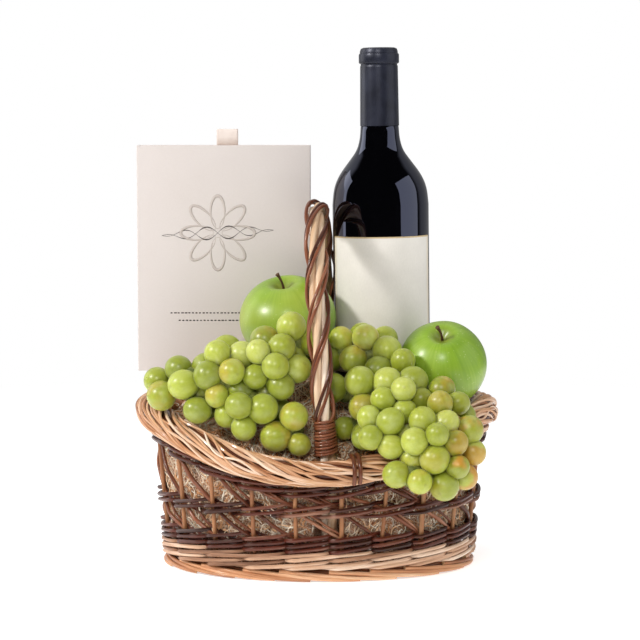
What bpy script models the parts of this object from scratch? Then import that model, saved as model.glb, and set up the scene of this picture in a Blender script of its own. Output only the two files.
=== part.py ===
# Wine and apple gift basket.
# An oval wicker basket with a tall wrapped handle, filled with a mound of wood wool that carries
# a bottle of red wine, a flat box of chocolates, two green apples and two bunches of green grapes.
# Metres, +Z up. The long side runs along X, and the front faces -Y.
# Every piece is placed from the middle of the basket's floor, and one empty then sets the whole
# group so that the middle of its outline stands over the origin.

import math

import bmesh
import bpy
import numpy as np
from mathutils import Matrix, Vector

# Where the middle of the basket's floor stands from the origin.
GROUP_SHIFT = (0.0030, 0.0124, 0.0)

# Gap between pieces that touch.
GAP = 0.0003

# Wall of the basket: an oval that widens from the floor to the rim.
BASE_HALF_LENGTH = 0.118
BASE_HALF_DEPTH = 0.079
RIM_HALF_LENGTH = 0.1285
RIM_HALF_DEPTH = 0.094
RIM_LOW_HEIGHT = 0.084
RIM_RISE = 0.0365
RIM_RISE_POWER = 1.9
RIM_HALF_WIDTH = 0.0108
RIM_HALF_HEIGHT_MIDDLE = 0.0088
RIM_HALF_HEIGHT_END = 0.0114
RIM_LOBE = 0.07
# Shares of the widening that the wall below the rim takes up, lengthwise and in depth.
LENGTH_SPREAD = 0.72
DEPTH_SPREAD = 0.90
STAKE_COUNT = 20
STAKE_RADIUS = 0.0030
DIAGONAL_RADIUS = 0.0022
NET_DEPTH = 0.0026
SLANT_TUCK = 0.001

# Woven bands round the wall: the height where each begins, and how it is built.
ROD_PITCH = 0.0044
BAND_INNER = 0.0003
BAND_OUTER = 0.0047
BAND_CREST = 0.0012
BAND_WAVE = 0.0009
FOOT_HEIGHT = 0.0087
FOOT_INNER = -0.0066
FOOT_OUTER = 0.0042
FOOT_STEP = 0.0016
LIGHT_BAND_HEIGHT = 0.0091
LIGHT_BAND_ROWS = 3
LOWER_BAND_HEIGHT = 0.0227
LOWER_BAND_ROWS = 3
MIDDLE_BAND_HEIGHT = 0.0505
MIDDLE_BAND_ROWS = 2
UPPER_BAND_ROWS = 2
LEAST_UPPER_TIER = 0.006
FLOOR_THICKNESS = 0.006
FLOOR_INSET = 0.0072

# Handle: a bundle of pale rods bent in a tall arch, with dark strips wound round it.
HANDLE_TOP = 0.2745
HANDLE_SPRING_HEIGHT = 0.135
HANDLE_LEG_SHARE = 0.29
HANDLE_HALF_SPAN = 0.076
HANDLE_FOOT_SPAN = 0.0658
HANDLE_SPLAY = 0.0100
HANDLE_FOOT_GAP = 0.0018
# Sideways place of the arch: at its top, and of each leg as it goes down.
HANDLE_TOP_X = -0.001
BACK_LEG_SLOPE = 0.13
BACK_LEG_X = 0.0160
FRONT_LEG_TOP_X = -0.0016
FRONT_LEG_X = 0.0085
FRONT_LEG_DRIFT = 0.0098
FRONT_LEG_POWER = 1.3
FRONT_LEG_BEND_HEIGHT = 0.235
FRONT_LEG_BEND_DROP = 0.170
HANDLE_CORE_RADIUS = 0.0060
HANDLE_LOBE = 0.0007
HANDLE_TWIST_PITCH = 0.260
WRAP_COUNT = 3
WRAP_PITCH = 0.112
WRAP_RADIUS = 0.0081
WRAP_HALF_WIDTH = 0.0030
WRAP_HALF_THICKNESS = 0.0011
WRAP_TAPER = 0.8
WRAP_BED = 0.0008
WRAP_END_GAP = 0.004
BINDING_LOW = 0.0950
BINDING_HIGH = 0.1240
BINDING_INNER = 0.0070
BINDING_TOP_RADIUS = 0.0082
BINDING_FOOT_RADIUS = 0.0094

# Lashing of two dark rods over the rim, beside the front leg of the handle.
LASHING_X = (0.0245, 0.0285)
LASHING_RADIUS = 0.0016
LASHING_START = math.radians(118)
LASHING_END = math.radians(-38)

# Bottle: outline of the glass as height over its base and radius.
BOTTLE_BASE = (0.0515, 0.0336, 0.0800)
BOTTLE_LEAN = math.radians(0.8)
BOTTLE_SIDES = 28
BOTTLE_RADIUS = 0.0379
BOTTLE_GLASS = (
    (0.0000, 0.0345), (0.0060, 0.0379), (0.1980, 0.0379), (0.2110, 0.0367), (0.2215, 0.0322),
    (0.2320, 0.0243), (0.2405, 0.0180), (0.2500, 0.0155), (0.2590, 0.0150), (0.2600, 0.0136),
    (0.3140, 0.0130))
CAPSULE_SIDES = 15
CAPSULE_OUTER = (
    (0.2605, 0.0153), (0.3070, 0.0148), (0.3082, 0.0156), (0.3172, 0.0156), (0.3204, 0.0125))
CAPSULE_SKIN_BASE = 0.0144
CAPSULE_SKIN_TOP = 0.0138
CAPSULE_UNDER_TOP = 0.3146
LABEL_FACETS = 11
LABEL_LOW = 0.0680
LABEL_HIGH = 0.1740
LABEL_THICKNESS = 0.0004

# Box of chocolates: a sleeve, the tray inside it and a ribbon tab to pull it by.
BOX_RIGHT = -0.0065
BOX_WIDTH = 0.1383
BOX_FRONT = 0.0480
BOX_DEPTH = 0.0300
BOX_LOW = 0.1440
BOX_HEIGHT = 0.1800
BOX_WALL = 0.0014
TRAY_RECESS = 0.0008
RIBBON_WIDTH = 0.0172
RIBBON_RISE = 0.0130
RIBBON_THICKNESS = 0.0010
RIBBON_X = -0.0731

# Apples: middle, largest radius, tilt towards the front and lean to the side.
APPLES = {
    "apple_left": ((-0.0240, 0.0010, 0.1895), 0.0375, math.radians(19), math.radians(-7)),
    "apple_right": ((0.0952, -0.0230, 0.1566), 0.0336, math.radians(36), math.radians(-4)),
}
APPLE_SIDES = 18
APPLE_PROFILE_STEPS = 8
# Shares of the radius: half height, depth of the hollows at the stem and at the foot.
APPLE_TALL = {"apple_left": 0.90, "apple_right": 1.00}
APPLE_TAPER = 0.05
STEM_HOLLOW = 0.26
STEM_HOLLOW_SPREAD = 0.32
FOOT_HOLLOW = 0.20
FOOT_HOLLOW_SPREAD = 0.38
STEM_LENGTH = 0.0150
STEM_RADIUS = 0.0013
STEM_FOOT_GAP = 0.0012
STEM_CURVE = 0.0035
STEM_POINTS = 5

# Mound of wood wool.
WOOL_LOW = 0.0092
WOOL_WALL_GAP = 0.0075
WOOL_RIM_GAP = 0.0130
WOOL_LEFT_TOP = 0.150
WOOL_RIGHT_TOP = 0.140
WOOL_BACK_EXTRA = 0.012
WOOL_STEEPNESS_FRONT = 1.05
WOOL_STEEPNESS_BACK = 9.0
WOOL_ANGLES = 30
WOOL_RINGS = 4
WOOL_LUMP = 0.0015
WOOL_CUT_GAP = 0.0006
WOOL_UNDER_RIM = 0.0025
WOOL_APPLE_SWELL = 0.012
CHANNEL_REACH = 0.030
BOTTLE_POCKET_GAP = 0.0012
BOTTLE_POCKET_HEIGHT = 0.160
APPLE_POCKET_SHARE = 1.025
BOX_POCKET_MARGIN = 0.0071

# Grape bunches: each is a row of rounded lobes, with grapes packed over their outside.
# The side that lies on the wood wool carries no grapes.
GRAPE_RADIUS_SMALL = 0.0088
GRAPE_RADIUS_LARGE = 0.0118
GRAPE_LONG = 0.10
GRAPE_SIDES = 5
GRAPE_RINGS = 4
GRAPE_CLEARANCE = 0.0008
GRAPE_SQUEEZE = 0.99
GRAPE_SETTLE_STEPS = 260
GRAPE_CORE_SHARE = 1.10
STALK_RADIUS = 0.0055
STALK_MEETING = 0.78
GRAPE_CROWDING = 0.62
GRAPE_BLOCKED = 0.0004
GRAPE_HEADING = (0.0, -0.9, 0.1)
GRAPE_HIDDEN_SIDE = (0.0, 1.0, -0.8)
GRAPE_HIDDEN_LIMIT = -0.06
BUNCHES = {
    "grapes_left": {
        "seed": 13,
        "count": 52,
        "lobes": (
            (-0.119, -0.042, 0.141, 0.018), (-0.096, -0.046, 0.145, 0.025),
            (-0.067, -0.050, 0.151, 0.031), (-0.036, -0.050, 0.158, 0.031),
            (-0.017, -0.046, 0.178, 0.022), (-0.052, -0.062, 0.129, 0.026),
            (-0.021, -0.066, 0.114, 0.025), (-0.086, -0.054, 0.129, 0.022)),
    },
    "grapes_right": {
        "seed": 29,
        "count": 72,
        "lobes": (
            (0.038, -0.026, 0.165, 0.026), (0.019, -0.027, 0.165, 0.021),
            (0.020, -0.040, 0.140, 0.021), (0.032, -0.062, 0.114, 0.021),
            (0.057, -0.042, 0.154, 0.026), (0.034, -0.062, 0.138, 0.023),
            (0.060, -0.069, 0.134, 0.028), (0.088, -0.073, 0.126, 0.027),
            (0.048, -0.090, 0.114, 0.024), (0.083, -0.097, 0.107, 0.028),
            (0.104, -0.088, 0.108, 0.022), (0.068, -0.107, 0.086, 0.021),
            (0.093, -0.101, 0.087, 0.022)),
    },
}

# Colours as red, green and blue, then roughness and metallic.
FINISHES = {
    "pale_wicker": ((0.62, 0.36, 0.17), 0.55, 0.0),
    "dark_wicker": ((0.10, 0.030, 0.018), 0.45, 0.0),
    "tan_wicker": ((0.30, 0.13, 0.06), 0.5, 0.0),
    "board": ((0.42, 0.27, 0.15), 0.7, 0.0),
    "wood_wool": ((0.62, 0.44, 0.25), 0.8, 0.0),
    "dark_glass": ((0.008, 0.008, 0.012), 0.08, 0.0),
    "capsule_foil": ((0.03, 0.03, 0.04), 0.4, 0.3),
    "label_paper": ((0.83, 0.80, 0.72), 0.7, 0.0),
    "box_card": ((0.74, 0.66, 0.61), 0.6, 0.0),
    "ribbon": ((0.80, 0.68, 0.63), 0.5, 0.0),
    "apple_skin": ((0.25, 0.48, 0.04), 0.25, 0.0),
    "apple_stem": ((0.09, 0.045, 0.02), 0.7, 0.0),
    "grape_skin": ((0.36, 0.47, 0.06), 0.25, 0.0),
}


def clear_scene():
    for old in list(bpy.data.objects):
        bpy.data.objects.remove(old, do_unlink=True)


def make_collection(name):
    collection = bpy.data.collections.new(name)
    bpy.context.scene.collection.children.link(collection)
    return collection


def make_finish(name):
    finish = bpy.data.materials.get(name)
    if finish is None:
        colour, roughness, metallic = FINISHES[name]
        finish = bpy.data.materials.new(name)
        finish.use_nodes = True
        shader = finish.node_tree.nodes["Principled BSDF"]
        shader.inputs["Base Color"].default_value = (*colour, 1.0)
        shader.inputs["Roughness"].default_value = roughness
        shader.inputs["Metallic"].default_value = metallic
        finish.diffuse_color = (*colour, 1.0)
    return finish


clear_scene()
BASKET = make_collection("wine_and_apple_gift_basket")
CUTTERS = make_collection("cutters")
FRAME = bpy.data.objects.new("basket_frame", None)
BASKET.objects.link(FRAME)
FRAME.location = GROUP_SHIFT


def add_piece(name, data, finish, smooth_angle=None):
    # A finished piece of the basket, hung on the empty that places the group.
    piece = bpy.data.objects.new(name, data)
    BASKET.objects.link(piece)
    piece.parent = FRAME
    data.materials.clear()
    data.materials.append(make_finish(finish))
    if smooth_angle is not None:
        data.shade_smooth()
        data.set_sharp_from_angle(angle=math.radians(smooth_angle))
    return piece


def mesh_from_faces(name, points, faces):
    mesh = bpy.data.meshes.new(name)
    mesh.from_pydata([tuple(map(float, point)) for point in points], [], faces)
    work = bmesh.new()
    work.from_mesh(mesh)
    bmesh.ops.recalc_face_normals(work, faces=work.faces)
    work.to_mesh(mesh)
    work.free()
    return mesh


def loft(name, sections, closed, shift=0):
    # Joins like sections in a row with four-sided faces. A closed loft runs back to its first
    # section, turned by shift points, and an open one has a flat cap at each end.
    sections = np.asarray(sections, dtype=float)
    stations, around = sections.shape[:2]
    faces = []
    for station in range(stations if closed else stations - 1):
        ahead = (station + 1) % stations
        turn = shift if closed and ahead == 0 else 0
        for spot in range(around):
            side = (spot + 1) % around
            faces.append((
                station * around + spot, station * around + side,
                ahead * around + (side + turn) % around, ahead * around + (spot + turn) % around))
    if not closed:
        faces.append(tuple(range(around)))
        faces.append(tuple(range((stations - 1) * around, stations * around)))
    return mesh_from_faces(name, sections.reshape(-1, 3), faces)


def join_meshes(name, base_mesh, meshes):
    # One Boolean union of the base with all the other meshes, applied at once.
    group = bpy.data.collections.new(name + "_pieces")
    bpy.context.scene.collection.children.link(group)
    for number, mesh in enumerate(meshes):
        group.objects.link(bpy.data.objects.new(f"{name}_piece_{number}", mesh))
    base = bpy.data.objects.new(name + "_base", base_mesh)
    bpy.context.scene.collection.objects.link(base)
    union = base.modifiers.new("union", "BOOLEAN")
    union.operation = "UNION"
    union.operand_type = "COLLECTION"
    union.collection = group
    union.solver = "EXACT"
    bpy.context.view_layer.update()
    evaluated = base.evaluated_get(bpy.context.evaluated_depsgraph_get())
    joined = bpy.data.meshes.new_from_object(evaluated)
    for piece in list(group.objects):
        bpy.data.objects.remove(piece, do_unlink=True)
    bpy.data.objects.remove(base, do_unlink=True)
    bpy.data.collections.remove(group)
    return keep_largest_body(joined)


def keep_largest_body(mesh):
    # Drops loose scraps and closes hollows that a union has sealed inside.
    work = bmesh.new()
    work.from_mesh(mesh)
    unseen = set(work.faces)
    bodies = []
    while unseen:
        front = [unseen.pop()]
        body = list(front)
        while front:
            face = front.pop()
            for edge in face.edges:
                for other in edge.link_faces:
                    if other in unseen:
                        unseen.remove(other)
                        front.append(other)
                        body.append(other)
        bodies.append(body)
    bodies.sort(key=len)
    for body in bodies[:-1]:
        bmesh.ops.delete(work, geom=body, context="FACES")
    loose = [corner for corner in work.verts if not corner.link_faces]
    bmesh.ops.delete(work, geom=loose, context="VERTS")
    work.to_mesh(mesh)
    work.free()
    return mesh


def cut_piece(piece, cutter_mesh, label):
    cutter = bpy.data.objects.new(label, cutter_mesh)
    CUTTERS.objects.link(cutter)
    cutter.parent = FRAME
    cutter.hide_render = True
    cutter.display_type = "WIRE"
    cut = piece.modifiers.new(label, "BOOLEAN")
    cut.operation = "DIFFERENCE"
    cut.object = cutter
    cut.solver = "EXACT"


# The wall's middle surface


def wall_axes(height):
    share = height / RIM_LOW_HEIGHT
    length = BASE_HALF_LENGTH + share * (RIM_HALF_LENGTH - BASE_HALF_LENGTH) * LENGTH_SPREAD
    depth = BASE_HALF_DEPTH + share * (RIM_HALF_DEPTH - BASE_HALF_DEPTH) * DEPTH_SPREAD
    return min(length, RIM_HALF_LENGTH), min(depth, RIM_HALF_DEPTH)


def wall_normal(angle):
    length, depth = wall_axes(RIM_LOW_HEIGHT / 2)
    return Vector((math.cos(angle) / length, math.sin(angle) / depth, 0.0)).normalized()


def wall_point(angle, height, outward=0.0):
    # A point on the oval at this height, moved outward along the oval's own normal.
    length, depth = wall_axes(height)
    across = Vector((math.cos(angle) / length, math.sin(angle) / depth)).normalized()
    return Vector((
        length * math.cos(angle) + outward * across.x,
        depth * math.sin(angle) + outward * across.y, height))


def even_angles(count):
    # Angles that share the oval at the rim in equal lengths. The first stands half a stake's
    # spacing to the right of the middle of the front.
    fine = np.linspace(-math.pi / 2, 3 * math.pi / 2, 2001)
    x = RIM_HALF_LENGTH * np.cos(fine)
    y = RIM_HALF_DEPTH * np.sin(fine)
    length = np.concatenate([[0.0], np.cumsum(np.hypot(np.diff(x), np.diff(y)))])
    shares = np.arange(count) / count + 0.5 / STAKE_COUNT
    return np.interp(shares * length[-1], length, fine)


def rim_height(x):
    # Height of the rim's middle, low at the front and back, and high at the two ends.
    return RIM_LOW_HEIGHT + RIM_RISE * (min(abs(x) / RIM_HALF_LENGTH, 1.0)) ** RIM_RISE_POWER


def rim_half_height(x):
    share = min(abs(x) / RIM_HALF_LENGTH, 1.0)
    return RIM_HALF_HEIGHT_MIDDLE + share * (RIM_HALF_HEIGHT_END - RIM_HALF_HEIGHT_MIDDLE)


def rim_under(angle):
    # Height just under the rim at this angle.
    x = RIM_HALF_LENGTH * math.cos(angle)
    return rim_height(x) - rim_half_height(x) * 1.08 - GAP


def build_floor():
    length, depth = wall_axes(0.0)
    floor = bmesh.new()
    bmesh.ops.create_cone(
        floor, cap_ends=True, segments=40, radius1=1.0, radius2=1.0, depth=FLOOR_THICKNESS,
        matrix=Matrix.Translation((0.0, 0.0, FLOOR_THICKNESS / 2)))
    size = (length - FLOOR_INSET, depth - FLOOR_INSET, 1.0)
    bmesh.ops.scale(floor, vec=size, verts=floor.verts)
    mesh = bpy.data.meshes.new("basket_floor")
    floor.to_mesh(mesh)
    floor.free()
    add_piece("basket_floor", mesh, "board")


def build_foot():
    # Ring of overlapping rod ends under the wall. Each rod leaves the ring a little before it is
    # cut off, so that the outside steps like saw teeth.
    sections = []
    for number, angle in enumerate(even_angles(2 * STAKE_COUNT)):
        step = FOOT_STEP if number % 2 else 0.0
        outline = (
            (FOOT_INNER, 0.0), (FOOT_OUTER, 0.0), (FOOT_OUTER + 0.001 + step, FOOT_HEIGHT * 0.45),
            (FOOT_OUTER + step / 2, FOOT_HEIGHT), (FOOT_INNER, FOOT_HEIGHT))
        sections.append([wall_point(angle, 0.0, out) + Vector((0, 0, up)) for out, up in outline])
    add_piece("basket_foot", loft("basket_foot", sections, True), "pale_wicker", 40)


def build_band(name, bottom, rows, finish):
    # Woven band: rows of rods that pass the stakes in turn outside and inside. The outside of the
    # section has a crest for each rod, and each crest swells at every other stake.
    sections = []
    for number, angle in enumerate(even_angles(2 * STAKE_COUNT)):
        low = bottom(angle)
        outline = [(BAND_INNER, 0.0)]
        for row in range(rows):
            swell = BAND_WAVE * math.cos(math.pi * (number / 2 + row))
            if row:
                outline.append((BAND_OUTER - BAND_CREST, row * ROD_PITCH))
            outline.append((BAND_OUTER + swell, (row + 0.5) * ROD_PITCH))
        outline.append((BAND_INNER, rows * ROD_PITCH))
        sections.append([wall_point(angle, low + up, out) for out, up in outline])
    add_piece(name, loft(name, sections, True), finish, 40)


def upper_band_height(angle):
    return rim_under(angle) - UPPER_BAND_ROWS * ROD_PITCH - GAP


def square_rod(start, end, outward, radius, name):
    # A straight rod as a square prism, with one side facing along the wall's normal.
    sides = 4
    along = (end - start).normalized()
    across = along.cross(outward).normalized()
    outward = across.cross(along)
    sections = []
    for centre in (start, end):
        ring = []
        for side in range(sides):
            angle = 2 * math.pi * (side + 0.5) / sides
            ring.append(centre + radius * (math.cos(angle) * across + math.sin(angle) * outward))
        sections.append(ring)
    return loft(name, sections, False)


def build_wall_net():
    # Upright stakes, and in both open tiers one slanting rod between each two stakes.
    angles = list(even_angles(STAKE_COUNT))
    stakes = []
    slants = []
    foot = FOOT_HEIGHT + 2 * GAP
    lower = (LOWER_BAND_HEIGHT + LOWER_BAND_ROWS * ROD_PITCH, MIDDLE_BAND_HEIGHT)
    for number, angle in enumerate(angles):
        following = angles[(number + 1) % STAKE_COUNT]
        top = rim_under(angle) - 2 * GAP
        outward = wall_normal(angle)
        stakes.append(square_rod(
            wall_point(angle, foot, -NET_DEPTH), wall_point(angle, top, -NET_DEPTH),
            outward, STAKE_RADIUS, "stake"))
        upper_low = MIDDLE_BAND_HEIGHT + MIDDLE_BAND_ROWS * ROD_PITCH
        upper_high = max(upper_band_height(angle), upper_low + LEAST_UPPER_TIER)
        tiers = (lower, (upper_low, upper_high))
        for tier_low, tier_high in tiers:
            between = wall_normal(angle) + wall_normal(following)
            slants.append(square_rod(
                wall_point(angle, tier_high + SLANT_TUCK, -NET_DEPTH),
                wall_point(following, tier_low - SLANT_TUCK, -NET_DEPTH),
                between, DIAGONAL_RADIUS, "slant"))
    mesh = join_meshes("basket_net", stakes[0], stakes[1:] + slants)
    add_piece("basket_net", mesh, "tan_wicker")


def rim_frame(angle):
    # Middle of the rim at this angle, with the outward and upward directions of its section.
    outward = Vector((math.cos(angle) / RIM_HALF_LENGTH, math.sin(angle) / RIM_HALF_DEPTH, 0.0))
    x = RIM_HALF_LENGTH * math.cos(angle)
    centre = Vector((x, RIM_HALF_DEPTH * math.sin(angle), rim_height(x)))
    return centre, outward.normalized(), Vector((0.0, 0.0, 1.0))


def build_rim():
    # Braided border: a section of three rounded lobes that turns as it runs round the oval, so
    # that bundles of rods slant over it. The last section meets the first two lobes further on.
    stations = 2 * STAKE_COUNT
    around = 9
    turn = 2 * math.pi / 12
    sections = []
    for number, angle in enumerate(even_angles(stations)):
        centre, outward, upward = rim_frame(angle)
        ring = []
        for spot in range(around):
            place = -2 * math.pi * spot / around
            lobe = 1.0 + RIM_LOBE * math.cos(3 * place)
            place -= number * turn
            ring.append(
                centre + outward * (RIM_HALF_WIDTH * lobe * math.cos(place))
                + upward * (rim_half_height(centre.x) * lobe * math.sin(place)))
        sections.append(ring)
    shift = round(stations * turn / (2 * math.pi) * around) % around
    add_piece("basket_rim", loft("basket_rim", sections, True, shift), "pale_wicker", 50)


def lashing_path(x, count):
    # Points of one lashing rod, bent over the rim's outside from its top to its lower edge.
    centre, outward, upward = rim_frame(-math.acos(x / RIM_HALF_LENGTH))
    reach = LASHING_RADIUS + 2 * GAP
    wide = RIM_HALF_WIDTH * (1.0 + RIM_LOBE) + reach
    high = rim_half_height(x) * (1.0 + RIM_LOBE) + reach
    points = []
    for place in np.linspace(LASHING_START, LASHING_END, count):
        points.append(
            centre + outward * (wide * math.cos(place)) + upward * (high * math.sin(place)))
    return points


def build_lashings():
    for number, x in enumerate(LASHING_X):
        bend = bpy.data.curves.new(f"rim_lashing_{number + 1}", "CURVE")
        bend.dimensions = "3D"
        bend.bevel_depth = LASHING_RADIUS
        bend.bevel_resolution = 1
        bend.use_fill_caps = True
        spline = bend.splines.new("POLY")
        points = lashing_path(x, 7)
        spline.points.add(len(points) - 1)
        for point, spot in zip(spline.points, points):
            point.co = (*spot, 1.0)
        add_piece(bend.name, bend, "dark_wicker")


# The handle


def handle_x(height, back):
    # The handle leans to one side: its back leg stands further along X than its front leg.
    if back:
        return min(HANDLE_TOP_X + BACK_LEG_SLOPE * (HANDLE_TOP - height), BACK_LEG_X)
    drop = max(FRONT_LEG_BEND_HEIGHT - height, 0.0) / FRONT_LEG_BEND_DROP
    return min(FRONT_LEG_TOP_X + FRONT_LEG_DRIFT * drop ** FRONT_LEG_POWER, FRONT_LEG_X)


def handle_point(share):
    # The arch from the foot of the front leg, at share 0, to the foot of the back leg, at 1.
    side = -1.0 if share < 0.5 else 1.0
    near = share if share < 0.5 else 1.0 - share
    if near < HANDLE_LEG_SHARE:
        height = FLOOR_THICKNESS + HANDLE_FOOT_GAP
        height += (HANDLE_SPRING_HEIGHT - height) * near / HANDLE_LEG_SHARE
        slope = (height - FLOOR_THICKNESS) / (RIM_LOW_HEIGHT - FLOOR_THICKNESS)
        span = HANDLE_FOOT_SPAN + HANDLE_SPLAY * slope
        span = min(span, HANDLE_HALF_SPAN)
    else:
        bend = (near - HANDLE_LEG_SHARE) / (0.5 - HANDLE_LEG_SHARE) * math.pi / 2
        height = HANDLE_SPRING_HEIGHT + (HANDLE_TOP - HANDLE_SPRING_HEIGHT) * math.sin(bend)
        span = HANDLE_HALF_SPAN * math.cos(bend)
    return Vector((handle_x(height, side > 0), side * span, height))


def handle_track():
    # Even steps along the arch: positions and directions.
    rough = np.array([handle_point(share) for share in np.linspace(0.0, 1.0, 801)])
    length = np.concatenate([[0.0], np.cumsum(np.linalg.norm(np.diff(rough, axis=0), axis=1))])
    return rough, length


HANDLE_ROUGH, HANDLE_LENGTH = handle_track()


def handle_at(distance):
    # Position along the arch, its direction, and two directions across it.
    spot = Vector([np.interp(distance, HANDLE_LENGTH, HANDLE_ROUGH[:, axis]) for axis in range(3)])
    step = 0.006
    ahead = [np.interp(distance + step, HANDLE_LENGTH, HANDLE_ROUGH[:, axis]) for axis in range(3)]
    behind = [np.interp(distance - step, HANDLE_LENGTH, HANDLE_ROUGH[:, axis]) for axis in range(3)]
    along = (Vector(ahead) - Vector(behind)).normalized()
    across = Vector((1.0, 0.0, 0.0))
    across = (across - along * across.dot(along)).normalized()
    return spot, along, across, along.cross(across)


def handle_distance(height, back):
    # How far along the arch a height is reached, on the front or the back leg.
    half = len(HANDLE_LENGTH) // 2
    if back:
        return float(np.interp(-height, -HANDLE_ROUGH[half:, 2], HANDLE_LENGTH[half:]))
    return float(np.interp(height, HANDLE_ROUGH[:half, 2], HANDLE_LENGTH[:half]))


def build_handle_core():
    # Three pale rods side by side, turning slowly round each other.
    stations = 27
    around = 9
    sections = []
    for distance in np.linspace(0.0, HANDLE_LENGTH[-1], stations):
        spot, along, across, inward = handle_at(distance)
        ring = []
        for number in range(around):
            place = 2 * math.pi * number / around
            reach = HANDLE_CORE_RADIUS - HANDLE_LOBE + HANDLE_LOBE * math.cos(3 * place)
            place += 2 * math.pi * distance / HANDLE_TWIST_PITCH
            ring.append(spot + reach * (math.cos(place) * across + math.sin(place) * inward))
        sections.append(ring)
    add_piece("handle_core", loft("handle_core", sections, False), "pale_wicker", 50)


def build_handle_wraps():
    # Flat strips, each a pair of dark rods, wound round the core between the two bindings.
    start = handle_distance(BINDING_HIGH, False) + WRAP_END_GAP
    end = handle_distance(BINDING_HIGH, True) - WRAP_END_GAP
    turns = (end - start) / WRAP_PITCH
    stations = int(turns * 9) + 1
    for number in range(WRAP_COUNT):
        sections = []
        for distance in np.linspace(start, end, stations):
            spot, along, across, inward = handle_at(distance)
            place = 2 * math.pi * ((distance - start) / WRAP_PITCH + number / WRAP_COUNT)
            outward = math.cos(place) * across + math.sin(place) * inward
            sideways = along.cross(outward)
            slant = 2 * math.pi * WRAP_RADIUS / WRAP_PITCH
            lay = (sideways - along * slant).normalized()
            centre = spot + WRAP_RADIUS * outward
            ring = []
            under = WRAP_BED - WRAP_HALF_THICKNESS
            for wide, rise in (
                    (-1.0, under), (1.0, under), (WRAP_TAPER, WRAP_HALF_THICKNESS),
                    (-WRAP_TAPER, WRAP_HALF_THICKNESS)):
                ring.append(centre + lay * (wide * WRAP_HALF_WIDTH) + outward * rise)
            sections.append(ring)
        name = f"handle_wrap_{number + 1}"
        add_piece(name, loft(name, sections, False), "dark_wicker", 60)


def build_bindings():
    # Wire-like wrapping round the foot of each leg, wider towards the rim.
    for name, back in (("handle_binding_front", False), ("handle_binding_back", True)):
        sections = []
        radii = (
            (BINDING_LOW, BINDING_INNER), (BINDING_LOW, BINDING_FOOT_RADIUS),
            (BINDING_HIGH, BINDING_TOP_RADIUS), (BINDING_HIGH, BINDING_INNER))
        around = 12
        for number in range(around):
            place = 2 * math.pi * number / around
            ring = []
            for height, reach in radii:
                spot, along, across, inward = handle_at(handle_distance(height, back))
                ring.append(spot + reach * (math.cos(place) * across + math.sin(place) * inward))
            sections.append(ring)
        add_piece(name, loft(name, sections, True), "tan_wicker", 30)


# The bottle


def turned_piece(name, outline, sides, finish, turn=0.0):
    # Outline of radius and height, listed down its outer side, turned round the Z axis.
    profile = bpy.data.meshes.new(name)
    edges = [(number, number + 1) for number in range(len(outline) - 1)]
    profile.from_pydata([(radius, 0.0, height) for radius, height in outline], edges, [])
    piece = add_piece(name, profile, finish)
    screw = piece.modifiers.new("turn", "SCREW")
    screw.steps = sides
    screw.render_steps = sides
    screw.use_merge_vertices = True
    screw.merge_threshold = 0.00001
    screw.use_normal_calculate = True
    screw.use_smooth_shade = True
    piece.rotation_euler = (0.0, 0.0, turn)
    return piece


def place_on_bottle(piece):
    turn = piece.rotation_euler.z
    lean = Matrix.Rotation(-BOTTLE_LEAN, 4, "Y") @ Matrix.Rotation(turn, 4, "Z")
    piece.matrix_local = Matrix.Translation(BOTTLE_BASE) @ lean


def build_bottle():
    facet = 2 * math.pi / BOTTLE_SIDES
    turn = -math.pi / 2 + facet / 2
    down = [(radius, height) for height, radius in reversed(BOTTLE_GLASS)]
    glass = [(0.0, down[0][1])] + down + [(0.0, 0.0)]
    place_on_bottle(turned_piece("bottle_glass", glass, BOTTLE_SIDES, "dark_glass", turn))
    outer = [(radius, height) for height, radius in reversed(CAPSULE_OUTER)]
    top = CAPSULE_OUTER[-1][0]
    low = CAPSULE_OUTER[0][0]
    skin = (
        [(0.0, top)] + outer
        + [(CAPSULE_SKIN_BASE, low), (CAPSULE_SKIN_TOP, CAPSULE_UNDER_TOP), (0.0, CAPSULE_UNDER_TOP)])
    place_on_bottle(turned_piece("bottle_capsule", skin, CAPSULE_SIDES, "capsule_foil", turn))


def build_label():
    # A blank paper label, bent with the same facets as the glass behind it.
    facet = 2 * math.pi / BOTTLE_SIDES
    inner = BOTTLE_RADIUS + 0.0004
    sections = []
    for number in range(LABEL_FACETS + 1):
        angle = -math.pi / 2 + (number - LABEL_FACETS / 2) * facet
        ring = []
        for reach, height in (
                (inner, LABEL_LOW), (inner + LABEL_THICKNESS, LABEL_LOW),
                (inner + LABEL_THICKNESS, LABEL_HIGH), (inner, LABEL_HIGH)):
            ring.append((reach * math.cos(angle), reach * math.sin(angle), height))
        sections.append(ring)
    label = add_piece("bottle_label", loft("bottle_label", sections, False), "label_paper", 30)
    label.matrix_local = Matrix.Translation(BOTTLE_BASE) @ Matrix.Rotation(-BOTTLE_LEAN, 4, "Y")


# The box of chocolates


def block(name, low, high):
    cube = bmesh.new()
    bmesh.ops.create_cube(cube, size=1.0)
    size = [top - bottom for bottom, top in zip(low, high)]
    middle = [(top + bottom) / 2 for bottom, top in zip(low, high)]
    bmesh.ops.scale(cube, vec=size, verts=cube.verts)
    bmesh.ops.translate(cube, vec=middle, verts=cube.verts)
    mesh = bpy.data.meshes.new(name)
    cube.to_mesh(mesh)
    cube.free()
    return mesh


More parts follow.
